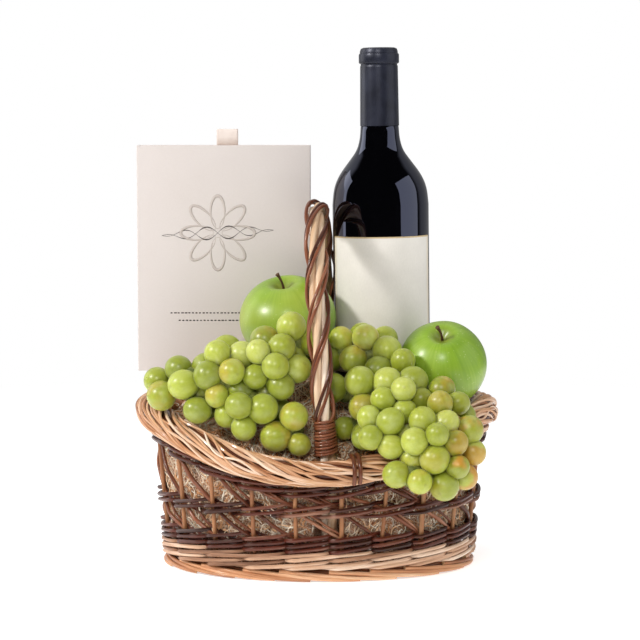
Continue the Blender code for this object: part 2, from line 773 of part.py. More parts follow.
def build_box():
    left = BOX_RIGHT - BOX_WIDTH
    back = BOX_FRONT + BOX_DEPTH
    top = BOX_LOW + BOX_HEIGHT
    inner = BOX_WALL
    corners = ((left, BOX_FRONT), (BOX_RIGHT, BOX_FRONT), (BOX_RIGHT, back), (left, back))
    inside = (
        (left + inner, BOX_FRONT + inner), (BOX_RIGHT - inner, BOX_FRONT + inner),
        (BOX_RIGHT - inner, back - inner), (left + inner, back - inner))
    sections = []
    for outer_corner, inner_corner in zip(corners, inside):
        sections.append([
            (*outer_corner, BOX_LOW), (*outer_corner, top), (*inner_corner, top),
            (*inner_corner, BOX_LOW)])
    add_piece("box_sleeve", loft("box_sleeve", sections, True), "box_card")
    play = inner + GAP
    tray_low = (left + play, BOX_FRONT + play, BOX_LOW + TRAY_RECESS)
    tray_high = (BOX_RIGHT - play, back - play, top - TRAY_RECESS)
    add_piece("box_tray", block("box_tray", tray_low, tray_high), "box_card")
    middle = (BOX_FRONT + back) / 2
    ribbon_low = (RIBBON_X - RIBBON_WIDTH / 2, middle - RIBBON_THICKNESS / 2, tray_high[2] + GAP)
    ribbon_high = (
        RIBBON_X + RIBBON_WIDTH / 2, middle + RIBBON_THICKNESS / 2, top + RIBBON_RISE)
    add_piece("box_ribbon", block("box_ribbon", ribbon_low, ribbon_high), "ribbon")


# The apples


def apple_outline(radius, tall):
    # Heart-shaped half section: a round belly, narrower at the foot, with a hollow at each end.
    outline = []
    for step in range(APPLE_PROFILE_STEPS + 1):
        angle = math.pi * step / APPLE_PROFILE_STEPS
        reach = math.sin(angle) * (1.0 + APPLE_TAPER * math.cos(angle))
        height = tall * math.cos(angle)
        height -= STEM_HOLLOW * math.exp(-((angle / STEM_HOLLOW_SPREAD) ** 2))
        height += FOOT_HOLLOW * math.exp(-(((math.pi - angle) / FOOT_HOLLOW_SPREAD) ** 2))
        outline.append((radius * reach, radius * height))
    outline[0] = (0.0, outline[0][1])
    outline[-1] = (0.0, outline[-1][1])
    return outline


def build_apples():
    for name, (centre, radius, tilt, lean) in APPLES.items():
        outline = apple_outline(radius, APPLE_TALL[name])
        apple = turned_piece(name, outline, APPLE_SIDES, "apple_skin")
        place = Matrix.Translation(centre) @ Matrix.Rotation(lean, 4, "Y")
        place = place @ Matrix.Rotation(tilt, 4, "X")
        apple.matrix_local = place
        stem = bpy.data.curves.new(name + "_stem", "CURVE")
        stem.dimensions = "3D"
        stem.bevel_depth = STEM_RADIUS
        stem.bevel_resolution = 1
        stem.use_fill_caps = True
        spline = stem.splines.new("POLY")
        spline.points.add(STEM_POINTS - 1)
        foot = outline[0][1] + STEM_FOOT_GAP
        for number, point in enumerate(spline.points):
            share = number / (STEM_POINTS - 1)
            point.co = (-STEM_CURVE * share ** 2, -0.001 * share, foot + STEM_LENGTH * share, 1.0)
            point.radius = 0.85 + 0.5 * share ** 3
        add_piece(stem.name, stem, "apple_stem").matrix_local = place


# The wood wool


def smooth_step(low, high, value):
    share = np.clip((value - low) / (high - low), 0.0, 1.0)
    return share * share * (3.0 - 2.0 * share)


def wool_height(x, y):
    # Top of the mound: high behind the left apple and under the box, lower towards the rim.
    x = np.asarray(x, dtype=float)
    y = np.asarray(y, dtype=float)
    length = RIM_HALF_LENGTH - WOOL_RIM_GAP
    depth = RIM_HALF_DEPTH - WOOL_RIM_GAP
    out = np.clip(np.hypot(x / length, y / depth), 0.0, 1.0)
    edge = RIM_LOW_HEIGHT + 0.0005
    edge = edge + RIM_RISE * np.clip(np.abs(x) / RIM_HALF_LENGTH, 0.0, 1.0) ** RIM_RISE_POWER
    right = smooth_step(0.0, 0.040, x)
    back = smooth_step(0.0, 0.040, y) * (1.0 - smooth_step(-0.010, 0.020, x))
    top = WOOL_LEFT_TOP + (WOOL_RIGHT_TOP - WOOL_LEFT_TOP) * right + WOOL_BACK_EXTRA * back
    steep = WOOL_STEEPNESS_FRONT + (WOOL_STEEPNESS_BACK - WOOL_STEEPNESS_FRONT) * back
    height = edge + (top - edge) * (1.0 - out ** steep)
    for (apple_x, apple_y, _), radius, _, _ in APPLES.values():
        near = np.hypot(x - apple_x, y - apple_y) / radius
        height = height + WOOL_APPLE_SWELL * np.exp(-near ** 2)
    return height


def apple_pocket(centre, radius):
    ball = bmesh.new()
    reach = radius * APPLE_POCKET_SHARE + WOOL_CUT_GAP
    bmesh.ops.create_icosphere(ball, subdivisions=2, radius=reach)
    bmesh.ops.translate(ball, vec=centre, verts=ball.verts)
    mesh = bpy.data.meshes.new("apple_pocket")
    ball.to_mesh(mesh)
    ball.free()
    return mesh


def leg_channel(back):
    # Clear space in the wood wool for a leg of the handle, open towards the wall.
    side = 1.0 if back else -1.0
    wide = BINDING_FOOT_RADIUS + 2 * WOOL_CUT_GAP
    foot = HANDLE_LENGTH[-1] if back else 0.0
    spring = handle_distance(HANDLE_SPRING_HEIGHT, back)
    sections = []
    for distance, extra in ((foot, -0.003), (spring, 0.020)):
        spot = handle_at(distance)[0]
        near = spot.y - side * wide
        far = spot.y + side * CHANNEL_REACH
        high = spot.z + extra
        sections.append([
            (spot.x - wide, near, high), (spot.x + wide, near, high),
            (spot.x + wide, far, high), (spot.x - wide, far, high)])
    return loft("leg_channel", sections, False)


def bottle_pocket():
    pocket = bmesh.new()
    radius = BOTTLE_RADIUS + BOTTLE_POCKET_GAP
    bmesh.ops.create_cone(
        pocket, cap_ends=True, segments=BOTTLE_SIDES, radius1=radius, radius2=radius,
        depth=BOTTLE_POCKET_HEIGHT,
        matrix=Matrix.Translation((0.0, 0.0, BOTTLE_POCKET_HEIGHT / 2 - WOOL_CUT_GAP)))
    lean = Matrix.Translation(BOTTLE_BASE) @ Matrix.Rotation(-BOTTLE_LEAN, 4, "Y")
    bmesh.ops.transform(pocket, matrix=lean, verts=pocket.verts)
    mesh = bpy.data.meshes.new("bottle_pocket")
    pocket.to_mesh(mesh)
    pocket.free()
    return mesh


def build_wood_wool():
    # Rings of points from the foot of the wall up to the crown of the mound.
    rng = np.random.default_rng(5)
    angles = even_angles(WOOL_ANGLES)
    lumps = rng.uniform(-WOOL_LUMP, WOOL_LUMP, (WOOL_RINGS, WOOL_ANGLES))
    points = [wall_point(angle, WOOL_LOW, -WOOL_WALL_GAP) for angle in angles]
    for angle in angles:
        points.append(wall_point(angle, rim_under(angle) - WOOL_UNDER_RIM, -WOOL_WALL_GAP))
    for ring in range(WOOL_RINGS):
        share = 1.0 - ring / WOOL_RINGS
        for number, angle in enumerate(angles):
            x = (RIM_HALF_LENGTH - WOOL_RIM_GAP) * math.cos(angle) * share
            y = (RIM_HALF_DEPTH - WOOL_RIM_GAP) * math.sin(angle) * share
            lump = 0.0 if ring == 0 else lumps[ring, number]
            points.append(Vector((x, y, float(wool_height(x, y)) + lump)))
    rings = WOOL_RINGS + 2
    faces = [tuple(range(WOOL_ANGLES))]
    for ring in range(rings - 1):
        for number in range(WOOL_ANGLES):
            side = (number + 1) % WOOL_ANGLES
            faces.append((
                ring * WOOL_ANGLES + number, ring * WOOL_ANGLES + side,
                (ring + 1) * WOOL_ANGLES + side, (ring + 1) * WOOL_ANGLES + number))
    crown = len(points)
    points.append(Vector((0.0, 0.0, float(wool_height(0.0, 0.0)))))
    last = (rings - 1) * WOOL_ANGLES
    for number in range(WOOL_ANGLES):
        faces.append((last + number, last + (number + 1) % WOOL_ANGLES, crown))
    wool = add_piece("wood_wool", mesh_from_faces("wood_wool", points, faces), "wood_wool")
    box_low = (BOX_RIGHT - BOX_WIDTH - 0.02, BOX_FRONT - 0.001, BOX_LOW - GAP)
    box_high = (BOX_RIGHT + BOX_POCKET_MARGIN, 0.12, 0.20)
    cut_piece(wool, block("box_pocket", box_low, box_high), "box_pocket")
    cut_piece(wool, bottle_pocket(), "bottle_pocket")
    for name, (centre, radius, _, _) in APPLES.items():
        cut_piece(wool, apple_pocket(centre, radius), name + "_pocket")
    cut_piece(wool, leg_channel(False), "front_leg_channel")
    cut_piece(wool, leg_channel(True), "back_leg_channel")


# The grapes


def push_from_segment_chain(points, sizes, chain, reach):
    # Moves each point out of a thick line through the chain's points.
    offset = points[:, None, :] - chain[None, :, :]
    distance = np.linalg.norm(offset, axis=2)
    nearest = distance.argmin(axis=1)
    rows = np.arange(len(points))
    short = np.clip(reach + sizes - distance[rows, nearest], 0.0, None)
    return offset[rows, nearest] / distance[rows, nearest][:, None] * short[:, None]


def clearance_pushes(points, sizes):
    # For every grape, the moves that would take it out of each neighbouring piece.
    pushes = []
    need = sizes + GRAPE_CLEARANCE
    for centre, radius, _, _ in APPLES.values():
        pushes.append(push_from_segment_chain(
            points, need, np.array([centre]), radius * 1.03))
    base = np.array(BOTTLE_BASE[:2])
    away = points[:, :2] - base
    distance = np.linalg.norm(away, axis=1)
    short = np.clip(BOTTLE_RADIUS + 0.0035 + need - distance, 0.0, None)
    pushes.append(np.column_stack([away / distance[:, None] * short[:, None], 0.0 * short]))
    chain = HANDLE_ROUGH[::5]
    pushes.append(push_from_segment_chain(points, need, chain, WRAP_RADIUS + 0.0014))
    pushes.append(push_from_box(points, need))
    pushes.append(push_from_wool(points, need))
    pushes.append(push_from_rim(points, need))
    pushes.append(push_from_lashing(points, need))
    return pushes


def push_from_box(points, need):
    behind = (points[:, 2] > BOX_LOW - 0.012) & (points[:, 0] < 0.005)
    short = np.where(behind, np.clip(points[:, 1] + need - BOX_FRONT, 0.0, None), 0.0)
    return np.column_stack([0.0 * short, -short, 0.0 * short])


def push_from_wool(points, need):
    x, y, z = points.T
    step = 0.001
    surface = wool_height(x, y)
    slope_x = (wool_height(x + step, y) - surface) / step
    slope_y = (wool_height(x, y + step) - surface) / step
    normal = np.column_stack([-slope_x, -slope_y, np.ones_like(x)])
    normal /= np.linalg.norm(normal, axis=1)[:, None]
    length = RIM_HALF_LENGTH - WOOL_RIM_GAP
    depth = RIM_HALF_DEPTH - WOOL_RIM_GAP
    inside = np.hypot(x / length, y / depth) < 1.0
    gap = (z - surface - WOOL_LUMP) * normal[:, 2]
    short = np.where(inside, np.clip(need - gap, 0.0, None), 0.0)
    return normal * short[:, None]


def push_from_rim(points, need):
    # Keeps clear of the rim as a rounded ring, and of the wall below it as a sloping face.
    x, y, z = points.T
    angle = np.arctan2(y / RIM_HALF_DEPTH, x / RIM_HALF_LENGTH)
    ring_x = RIM_HALF_LENGTH * np.cos(angle)
    ring_y = RIM_HALF_DEPTH * np.sin(angle)
    normal = np.column_stack([np.cos(angle) / RIM_HALF_LENGTH, np.sin(angle) / RIM_HALF_DEPTH])
    normal /= np.linalg.norm(normal, axis=1)[:, None]
    outward = (x - ring_x) * normal[:, 0] + (y - ring_y) * normal[:, 1]
    share = np.clip(np.abs(ring_x) / RIM_HALF_LENGTH, 0.0, 1.0)
    height = RIM_LOW_HEIGHT + RIM_RISE * share ** RIM_RISE_POWER
    upward = z - height
    distance = np.hypot(outward, upward)
    reach = RIM_HALF_WIDTH * 1.07 + 0.0008
    short = np.clip(reach + need - distance, 0.0, None)
    push_out = outward / distance * short
    push_up = upward / distance * short
    outside = (outward > 0.0) & (upward < 0.0)
    wall = np.where(outside, np.clip(reach * 0.75 + need - outward, 0.0, None), 0.0)
    push_out = np.where(outside, np.maximum(push_out, wall), push_out)
    return np.column_stack([normal[:, 0] * push_out, normal[:, 1] * push_out, push_up])


def push_from_lashing(points, need):
    chain = [spot for x in LASHING_X for spot in lashing_path(x, 17)]
    return push_from_segment_chain(points, need, np.array(chain), LASHING_RADIUS + 2 * GAP)


def pack_bunch(bunch, others):
    # Scatters grapes over the outside of the lobes, then lets them push each other apart while
    # they stay on that outside and clear of the pieces round them. Grapes that find no room go.
    rng = np.random.default_rng(bunch["seed"])
    lobes = np.array(bunch["lobes"])
    middles = lobes[:, :3]
    reaches = lobes[:, 3]
    count = bunch["count"]
    sizes = rng.uniform(GRAPE_RADIUS_SMALL, GRAPE_RADIUS_LARGE, count)
    chosen = rng.choice(len(lobes), count, p=reaches ** 2 / np.sum(reaches ** 2))
    heading = rng.normal(size=(count, 3)) + np.array(GRAPE_HEADING)
    heading /= np.linalg.norm(heading, axis=1)[:, None]
    points = middles[chosen] + heading * (reaches[chosen] - sizes)[:, None]
    rows = np.arange(count)
    for _ in range(GRAPE_SETTLE_STEPS):
        offset = points[:, None, :] - points[None, :, :]
        distance = np.linalg.norm(offset, axis=2) + np.eye(count)
        wanted = (sizes[:, None] + sizes[None, :]) * GRAPE_SQUEEZE
        short = np.clip(wanted - distance, 0.0, None) * (1.0 - np.eye(count))
        points = points + 0.35 * (offset / distance[:, :, None] * short[:, :, None]).sum(axis=1)
        from_lobe = points[:, None, :] - middles[None, :, :]
        radial = np.linalg.norm(from_lobe, axis=2) + 1e-9
        depth = radial - (reaches[None, :] - sizes[:, None])
        nearest = depth.argmin(axis=1)
        inward = from_lobe[rows, nearest] / radial[rows, nearest][:, None]
        points = points - 0.5 * inward * depth[rows, nearest][:, None]
        for push in clearance_pushes(points, sizes * (1.0 + GRAPE_LONG)):
            points = points + push
        if len(others):
            points = points + push_from_segment_chain(
                points, sizes, others[:, :3], float(others[:, 3].max()))
    pushes = clearance_pushes(points, sizes * (1.0 + GRAPE_LONG))
    blocked = sum(np.linalg.norm(push, axis=1) for push in pushes)
    offset = points[:, None, :] - points[None, :, :]
    distance = np.linalg.norm(offset, axis=2) + np.eye(count)
    wanted = sizes[:, None] + sizes[None, :]
    keep = blocked < GRAPE_BLOCKED
    crowded = distance < GRAPE_CROWDING * wanted
    for number in range(count):
        keep[number] = keep[number] and not (crowded[number, :number] & keep[:number]).any()
    from_lobe = points[:, None, :] - middles[None, :, :]
    radial = np.linalg.norm(from_lobe, axis=2)
    nearest = (radial - reaches[None, :]).argmin(axis=1)
    axes = from_lobe[rows, nearest] / radial[rows, nearest][:, None]
    hidden = Vector(GRAPE_HIDDEN_SIDE).normalized()
    keep &= axes @ np.array(hidden) < GRAPE_HIDDEN_LIMIT
    stretch = 1.0 + rng.uniform(0.0, GRAPE_LONG, count)
    spins = rng.uniform(0.0, 2 * math.pi, count)
    grapes = np.column_stack([points, sizes, axes, stretch, spins])
    return grapes[keep]


def core_ball(middle, radius):
    # A plain ball inside the bunch, made smaller where a neighbouring piece comes near.
    point = np.array([middle])
    for _ in range(40):
        pushes = clearance_pushes(point, np.array([radius]))
        if max(np.linalg.norm(push) for push in pushes) < 0.0001:
            break
        radius -= 0.0005
    radius = max(radius, 0.002)
    return ball_mesh(middle, (radius, radius, radius), (0.1, 0.2, 1.0), 0.3, True)


def bunch_core(lobes):
    # One ball in the middle of each lobe, and a small one where it doesn't meet an earlier one.
    inset = GRAPE_CORE_SHARE * (GRAPE_RADIUS_SMALL + GRAPE_RADIUS_LARGE) / 2
    balls = []
    done = []
    for x, y, z, reach in lobes:
        middle = Vector((x, y, z))
        radius = reach - inset
        balls.append(core_ball(middle, radius))
        if done:
            nearest, size = min(done, key=lambda other: (other[0] - middle).length)
            if (nearest - middle).length > STALK_MEETING * (radius + size):
                balls.append(core_ball((middle + nearest) / 2, STALK_RADIUS))
        done.append((middle, radius))
    return balls


def ball_mesh(centre, radii, axis, spin, plain=False):
    ball = bmesh.new()
    if plain:
        bmesh.ops.create_icosphere(ball, subdivisions=1, radius=1.0)
    else:
        bmesh.ops.create_uvsphere(ball, u_segments=GRAPE_SIDES, v_segments=GRAPE_RINGS, radius=1.0)
    turn = Vector(axis).to_track_quat("Z", "Y").to_matrix().to_4x4()
    place = Matrix.Translation(centre) @ turn @ Matrix.Rotation(spin, 4, "Z")
    bmesh.ops.transform(ball, matrix=place @ Matrix.Diagonal((*radii, 1.0)), verts=ball.verts)
    mesh = bpy.data.meshes.new("grape")
    ball.to_mesh(mesh)
    ball.free()
    return mesh


def build_bunches():
    others = np.zeros((0, 4))
    for name, bunch in BUNCHES.items():
        grapes = pack_bunch(bunch, others)
        cores = bunch_core(bunch["lobes"])
        balls = []
        for x, y, z, size, axis_x, axis_y, axis_z, stretch, spin in grapes:
            balls.append(ball_mesh(
                (x, y, z), (size, size, size * stretch), (axis_x, axis_y, axis_z), spin))
        mesh = join_meshes(name, cores[0], cores[1:] + balls)
        add_piece(name, mesh, "grape_skin", 50)
        others = np.vstack([others, grapes[:, :4]])


def build_basket():
    build_floor()
    build_foot()
    build_band("basket_light_band", lambda angle: LIGHT_BAND_HEIGHT, LIGHT_BAND_ROWS, "pale_wicker")
    build_band("basket_lower_band", lambda angle: LOWER_BAND_HEIGHT, LOWER_BAND_ROWS, "dark_wicker")
    build_band("basket_middle_band", lambda angle: MIDDLE_BAND_HEIGHT, MIDDLE_BAND_ROWS, "dark_wicker")
    build_band("basket_upper_band", upper_band_height, UPPER_BAND_ROWS, "dark_wicker")
    build_wall_net()
    build_rim()
    build_lashings()


build_basket()
build_handle_core()
build_handle_wraps()
build_bindings()
build_wood_wool()
build_bottle()
build_label()
build_box()
build_apples()
build_bunches()
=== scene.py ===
import math

import bpy
import numpy as np
from mathutils import Matrix, Vector


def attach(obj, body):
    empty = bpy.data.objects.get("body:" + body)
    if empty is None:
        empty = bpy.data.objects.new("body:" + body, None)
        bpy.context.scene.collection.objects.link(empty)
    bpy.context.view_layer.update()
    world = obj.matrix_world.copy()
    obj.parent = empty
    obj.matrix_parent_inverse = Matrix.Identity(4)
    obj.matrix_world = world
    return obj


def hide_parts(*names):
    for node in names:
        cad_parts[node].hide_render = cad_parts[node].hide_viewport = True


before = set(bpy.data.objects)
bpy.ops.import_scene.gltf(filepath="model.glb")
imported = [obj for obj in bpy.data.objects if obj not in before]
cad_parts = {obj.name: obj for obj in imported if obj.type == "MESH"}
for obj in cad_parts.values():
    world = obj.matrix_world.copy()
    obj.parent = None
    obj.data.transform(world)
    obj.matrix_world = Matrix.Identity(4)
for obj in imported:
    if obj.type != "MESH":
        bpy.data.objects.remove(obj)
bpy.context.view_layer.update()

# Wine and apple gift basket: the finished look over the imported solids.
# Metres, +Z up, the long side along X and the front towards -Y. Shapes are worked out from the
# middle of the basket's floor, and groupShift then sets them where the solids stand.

groupShift = np.array((0.0030, 0.0124, 0.0))

# The camera stands where the photograph was taken from.
cameraView = {"place": (0.0040, -1.6116, 0.3440), "pitchDown": 5.44, "lens": 118.125}
camera = bpy.data.objects.new("camera", bpy.data.cameras.new("camera"))
camera.data.sensor_width = 36.0
camera.data.lens = cameraView["lens"]
camera.location = cameraView["place"]
camera.rotation_euler = (math.radians(90.0 - cameraView["pitchDown"]), 0.0, 0.0)
bpy.context.scene.collection.objects.link(camera)
bpy.context.scene.camera = camera


# Node trees

def paint(code):
    # A web colour such as "C8A070" as linear red, green, blue and alpha.
    parts = np.array([int(code[place:place + 2], 16) / 255 for place in (0, 2, 4)])
    linear = np.where(parts <= 0.04045, parts / 12.92, ((parts + 0.055) / 1.055) ** 2.4)
    return (*linear.tolist(), 1.0)


def startMaterial(name, **shaderValues):
    material = bpy.data.materials.new(name)
    material.use_nodes = True
    tree = material.node_tree
    tree.nodes.clear()
    output = tree.nodes.new("ShaderNodeOutputMaterial")
    shader = tree.nodes.new("ShaderNodeBsdfPrincipled")
    tree.links.new(shader.outputs["BSDF"], output.inputs["Surface"])
    for socket, value in shaderValues.items():
        shader.inputs[socket.replace("_", " ")].default_value = value
    return material, tree, shader


def addNode(tree, kind, inputs=None, **settings):
    # One shader node: settings are its own fields, inputs are values or other nodes' sockets.
    node = tree.nodes.new("ShaderNode" + kind)
    for field, value in settings.items():
        setattr(node, field, value)
    for socket, value in (inputs or {}).items():
        if isinstance(value, bpy.types.NodeSocket):
            tree.links.new(value, node.inputs[socket])
        else:
            node.inputs[socket].default_value = value
    return node


def ramp(tree, factor, stops):
    # A colour ramp from pairs of place and web colour.
    node = addNode(tree, "ValToRGB", {"Fac": factor})
    elements = node.color_ramp.elements
    while len(elements) < len(stops):
        elements.new(0.5)
    for element, (place, code) in zip(elements, stops):
        element.position = place
        element.color = paint(code)
    return node.outputs["Color"]


def math2(tree, operation, first, second=0.0, clamp=False):
    return addNode(tree, "Math", {0: first, 1: second}, operation=operation, use_clamp=clamp).outputs[0]


def weighted(tree, *pairs):
    # Sum of values, each times its weight.
    total = 0.0
    for value, weight in pairs:
        total = addNode(tree, "Math", {0: value, 1: weight, 2: total}, operation="MULTIPLY_ADD").outputs[0]
    return total


def ranged(tree, value, low, high, start, end):
    # Smooth change from start to end while the value runs from low to high.
    return addNode(tree, "MapRange", {
        "Value": value, "From Min": low, "From Max": high, "To Min": start, "To Max": end},
        interpolation_type="SMOOTHSTEP").outputs[0]


def blendColour(tree, factor, first, second):
    return addNode(tree, "Mix", {0: factor, 6: first, 7: second}, data_type="RGBA").outputs[2]


def spread(tree, vector, scale, detail=3.0, roughness=0.5, squeeze=(1.0, 1.0, 1.0)):
    # Noise on a vector that is first stretched by a Mapping node.
    mapping = addNode(tree, "Mapping", {"Vector": vector, "Scale": squeeze})
    noise = addNode(tree, "TexNoise", {
        "Vector": mapping.outputs[0], "Scale": scale, "Detail": detail, "Roughness": roughness})
    return noise.outputs["Fac"]


def objectPlace(tree):
    return addNode(tree, "TexCoord").outputs["Object"]


def attribute(tree, name, field="Fac"):
    return addNode(tree, "Attribute", attribute_name=name).outputs[field]


def axisOf(tree, vector, number):
    return addNode(tree, "SeparateXYZ", {0: vector}).outputs[number]


def coloured(tree, shader, colour):
    tree.links.new(colour, shader.inputs["Base Color"])


def roughened(tree, shader, noise, gain, least):
    rough = addNode(tree, "Math", {0: noise, 1: gain, 2: least}, operation="MULTIPLY_ADD")
    tree.links.new(rough.outputs[0], shader.inputs["Roughness"])


def bumped(tree, shader, height, strength, distance):
    bump = addNode(tree, "Bump", {"Height": height, "Strength": strength, "Distance": distance})
    tree.links.new(bump.outputs["Normal"], shader.inputs["Normal"])


def twoToned(name, codes, noise, relief, field=None, **shaderValues):
    # Two colours mixed by one noise that also stands up as grain. The noise has the settings of
    # spread, relief is its strength and depth, and field names an attribute that it follows.
    material, tree, shader = startMaterial(name, **shaderValues)
    place = attribute(tree, field, "Vector") if field else objectPlace(tree)
    fibre = spread(tree, place, *noise)
    coloured(tree, shader, ramp(tree, fibre, list(zip((0.3, 0.7), codes))))
    bumped(tree, shader, fibre, *relief)
    return material


# Meshes

def stacked(*parts):
    # Arrays side by side along a new last axis, each spread to the size of the largest.
    return np.stack(np.broadcast_arrays(*parts), -1)


def makePiece(name, points, faceSets, materials, fields=None, sharp=50.0, groups=None):
    # Points and faces as arrays, faces in one array for each number of corners.
    points = np.asarray(points, dtype=np.float32).reshape(-1, 3)
    faceSets = [np.asarray(faces, dtype=np.int32) for faces in faceSets if len(faces)]
    mesh = bpy.data.meshes.new(name)
    mesh.vertices.add(len(points))
    mesh.vertices.foreach_set("co", points.ravel())
    corners = np.concatenate([faces.ravel() for faces in faceSets])
    sizes = np.concatenate([np.full(len(faces), faces.shape[1]) for faces in faceSets])
    mesh.loops.add(len(corners))
    mesh.loops.foreach_set("vertex_index", corners)
    mesh.polygons.add(len(sizes))
    starts = np.concatenate([[0], np.cumsum(sizes)[:-1]]).astype(np.int32)
    mesh.polygons.foreach_set("loop_start", starts)
    if groups is not None:
        mesh.polygons.foreach_set("material_index", np.asarray(groups, dtype=np.int32))
    mesh.update(calc_edges=True)
    for field, values in (fields or {}).items():
        values = np.asarray(values, dtype=np.float32)
        if values.ndim > 1 and values.shape[-1] == 3:
            layer = mesh.attributes.new(field, "FLOAT_VECTOR", "POINT")
            layer.data.foreach_set("vector", values.ravel())
        else:
            layer = mesh.attributes.new(field, "FLOAT", "POINT")
            layer.data.foreach_set("value", values.ravel())
    mesh.shade_smooth()
    if sharp:
        mesh.set_sharp_from_angle(angle=math.radians(sharp))
    for material in materials:
        mesh.materials.append(material)
    piece = bpy.data.objects.new(name, mesh)
    bpy.context.scene.collection.objects.link(piece)
    return piece


def basketPiece(name, node, points, faceSets, materials, fields=None, sharp=50.0, groups=None):
    # A piece in its place on the basket's one body, with its finish and the solid it stands for.
    piece = makePiece(name, points + groupShift, faceSets, materials, fields, sharp, groups)
    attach(piece, "root")
    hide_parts(node)
    return piece


def finishNode(node, material):
    # For a node that stays as the solid.
    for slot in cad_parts[node].material_slots:
        slot.material = material


def unit(vectors):
    return vectors / np.maximum(np.linalg.norm(vectors, axis=-1, keepdims=True), 1e-12)


def rodSkin(paths, outward, radius, sides, flat=1.0):
    # Rods along paths: ring point = path + r (cos a across + flat sin a out), where across is
    # square to the path and to the outward direction. Both ends get a flat cap.
    paths = np.asarray(paths, dtype=float)
    count, stations = paths.shape[:2]
    radius = np.broadcast_to(np.asarray(radius, dtype=float), (count, stations))
    outward = np.broadcast_to(outward, paths.shape)
    along = unit(np.gradient(paths, axis=1))
    across = unit(np.cross(along, outward))
    out = np.cross(across, along)
    turn = 2 * np.pi * np.arange(sides) / sides
    sideways = radius[:, :, None] * np.cos(turn)
    upward = flat * radius[:, :, None] * np.sin(turn)
    rings = (paths[:, :, None, :] + sideways[..., None] * across[:, :, None, :]
             + upward[..., None] * out[:, :, None, :])
    steps = np.linalg.norm(np.diff(paths, axis=1), axis=2)
    length = np.concatenate([np.zeros((count, 1)), np.cumsum(steps, axis=1)], axis=1)
    length = length + 0.37 * np.arange(count)[:, None]
    grain = stacked(length[:, :, None], sideways, upward)
    rod, station, side = np.meshgrid(
        np.arange(count), np.arange(stations - 1), np.arange(sides), indexing="ij")
    base = (rod * stations + station) * sides
    turned = (side + 1) % sides
    quads = stacked(base + side, base + sides + side, base + sides + turned, base + turned)
    first = np.arange(count)[:, None] * stations * sides + np.arange(sides)
    last = (first + (stations - 1) * sides)[:, ::-1]
    return rings.reshape(-1, 3), quads.reshape(-1, 4), np.concatenate([first, last]), grain


def rodPiece(name, node, paths, outward, radius, sides, tones, materials, flat=1.0, sharp=50.0):
    # One piece of many rods. Each rod has its own tone, or several along it, and its cut ends have
    # the last material.
    points, quads, caps, grain = rodSkin(paths, outward, radius, sides, flat)
    tone = np.repeat(np.ravel(tones), len(points) // np.size(tones))
    groups = np.concatenate([np.zeros(len(quads)), np.full(len(caps), len(materials) - 1)])
    fields = {"grain": grain.reshape(-1, 3), "tone": tone}
    basketPiece(name, node, points, [quads, caps], materials, fields, sharp, groups)


def gridFaces(rows, columns, closed):
    # Quads of a grid of rows by columns; closed joins the last column to the first.
    row, column = np.meshgrid(
        np.arange(rows - 1), np.arange(columns if closed else columns - 1), indexing="ij")
    side = (column + 1) % columns
    quads = stacked(row * columns + column, row * columns + side,
                    (row + 1) * columns + side, (row + 1) * columns + column)
    return quads.reshape(-1, 4)


def closedSkin(rings, low, high):
    # Rings of points one over another, and a fan of triangles to a point at each end.
    rows, around = rings.shape[:2]
    ring = np.arange(around)
    side = (ring + 1) % around
    foot = stacked(rows * around, side, ring)
    top = stacked(rows * around + 1, ring, side)
    top[:, 1:] += (rows - 1) * around
    points = np.vstack([rings.reshape(-1, 3), low, high])
    return points, gridFaces(rows, around, True), np.vstack([foot, top])


def turnedSkin(profile, around, wave=None):
    # A profile of radius and height, listed upwards, turned round Z.
    profile = np.asarray(profile, dtype=float)
    turn = 2 * np.pi * np.arange(around) / around
    radius = profile[1:-1, 0][:, None] * np.ones(around)
    if wave is not None:
        radius = radius * wave(profile[1:-1], turn)
    rings = stacked(radius * np.cos(turn), radius * np.sin(turn), profile[1:-1, 1:])
    return closedSkin(rings, (0, 0, profile[0, 1]), (0, 0, profile[-1, 1]))


def softened(outline, rounds=2):
    # Corner cutting: each corner of an open line gives way to two points near it.
    outline = np.asarray(outline, dtype=float)
    for _ in range(rounds):
        near = outline[:-1] * 0.75 + outline[1:] * 0.25
        far = outline[:-1] * 0.25 + outline[1:] * 0.75
        middle = np.stack([near, far], 1).reshape(-1, outline.shape[1])
        outline = np.vstack([outline[:1], middle[1:-1], outline[-1:]])
    return outline


def placed(points, matrix):
    matrix = np.array(matrix)
    return points @ matrix[:3, :3].T + matrix[:3, 3]


# The basket's wall: an oval that widens from the floor to the rim

wall = {
    "footLength": 0.118, "footDepth": 0.079, "rimLength": 0.1285, "rimDepth": 0.094,
    "rimLow": 0.084, "rimRise": 0.0365, "rimRisePower": 1.9, "rimHalfWidth": 0.0108,
    "rimHalfHeight": (0.0088, 0.0114), "rimSwell": 1.07, "lengthSpread": 0.72, "depthSpread": 0.90,
    "underSwell": 1.08, "underGap": 0.0003, "stakes": 20,
}


def wallAxes(height):
    # Half length and half depth of the oval at this height.
    share = height / wall["rimLow"]
    length = wall["footLength"] + share * (wall["rimLength"] - wall["footLength"]) * wall["lengthSpread"]
    depth = wall["footDepth"] + share * (wall["rimDepth"] - wall["footDepth"]) * wall["depthSpread"]
    return np.minimum(length, wall["rimLength"]), np.minimum(depth, wall["rimDepth"])


def ovalNormal(angle, length, depth):
    # Outward direction, square to the line of the oval.
    return unit(stacked(np.cos(angle) / length, np.sin(angle) / depth, 0.0))


def wallNormal(angle):
    # The same half way up the wall.
    return ovalNormal(angle, *wallAxes(wall["rimLow"] / 2))


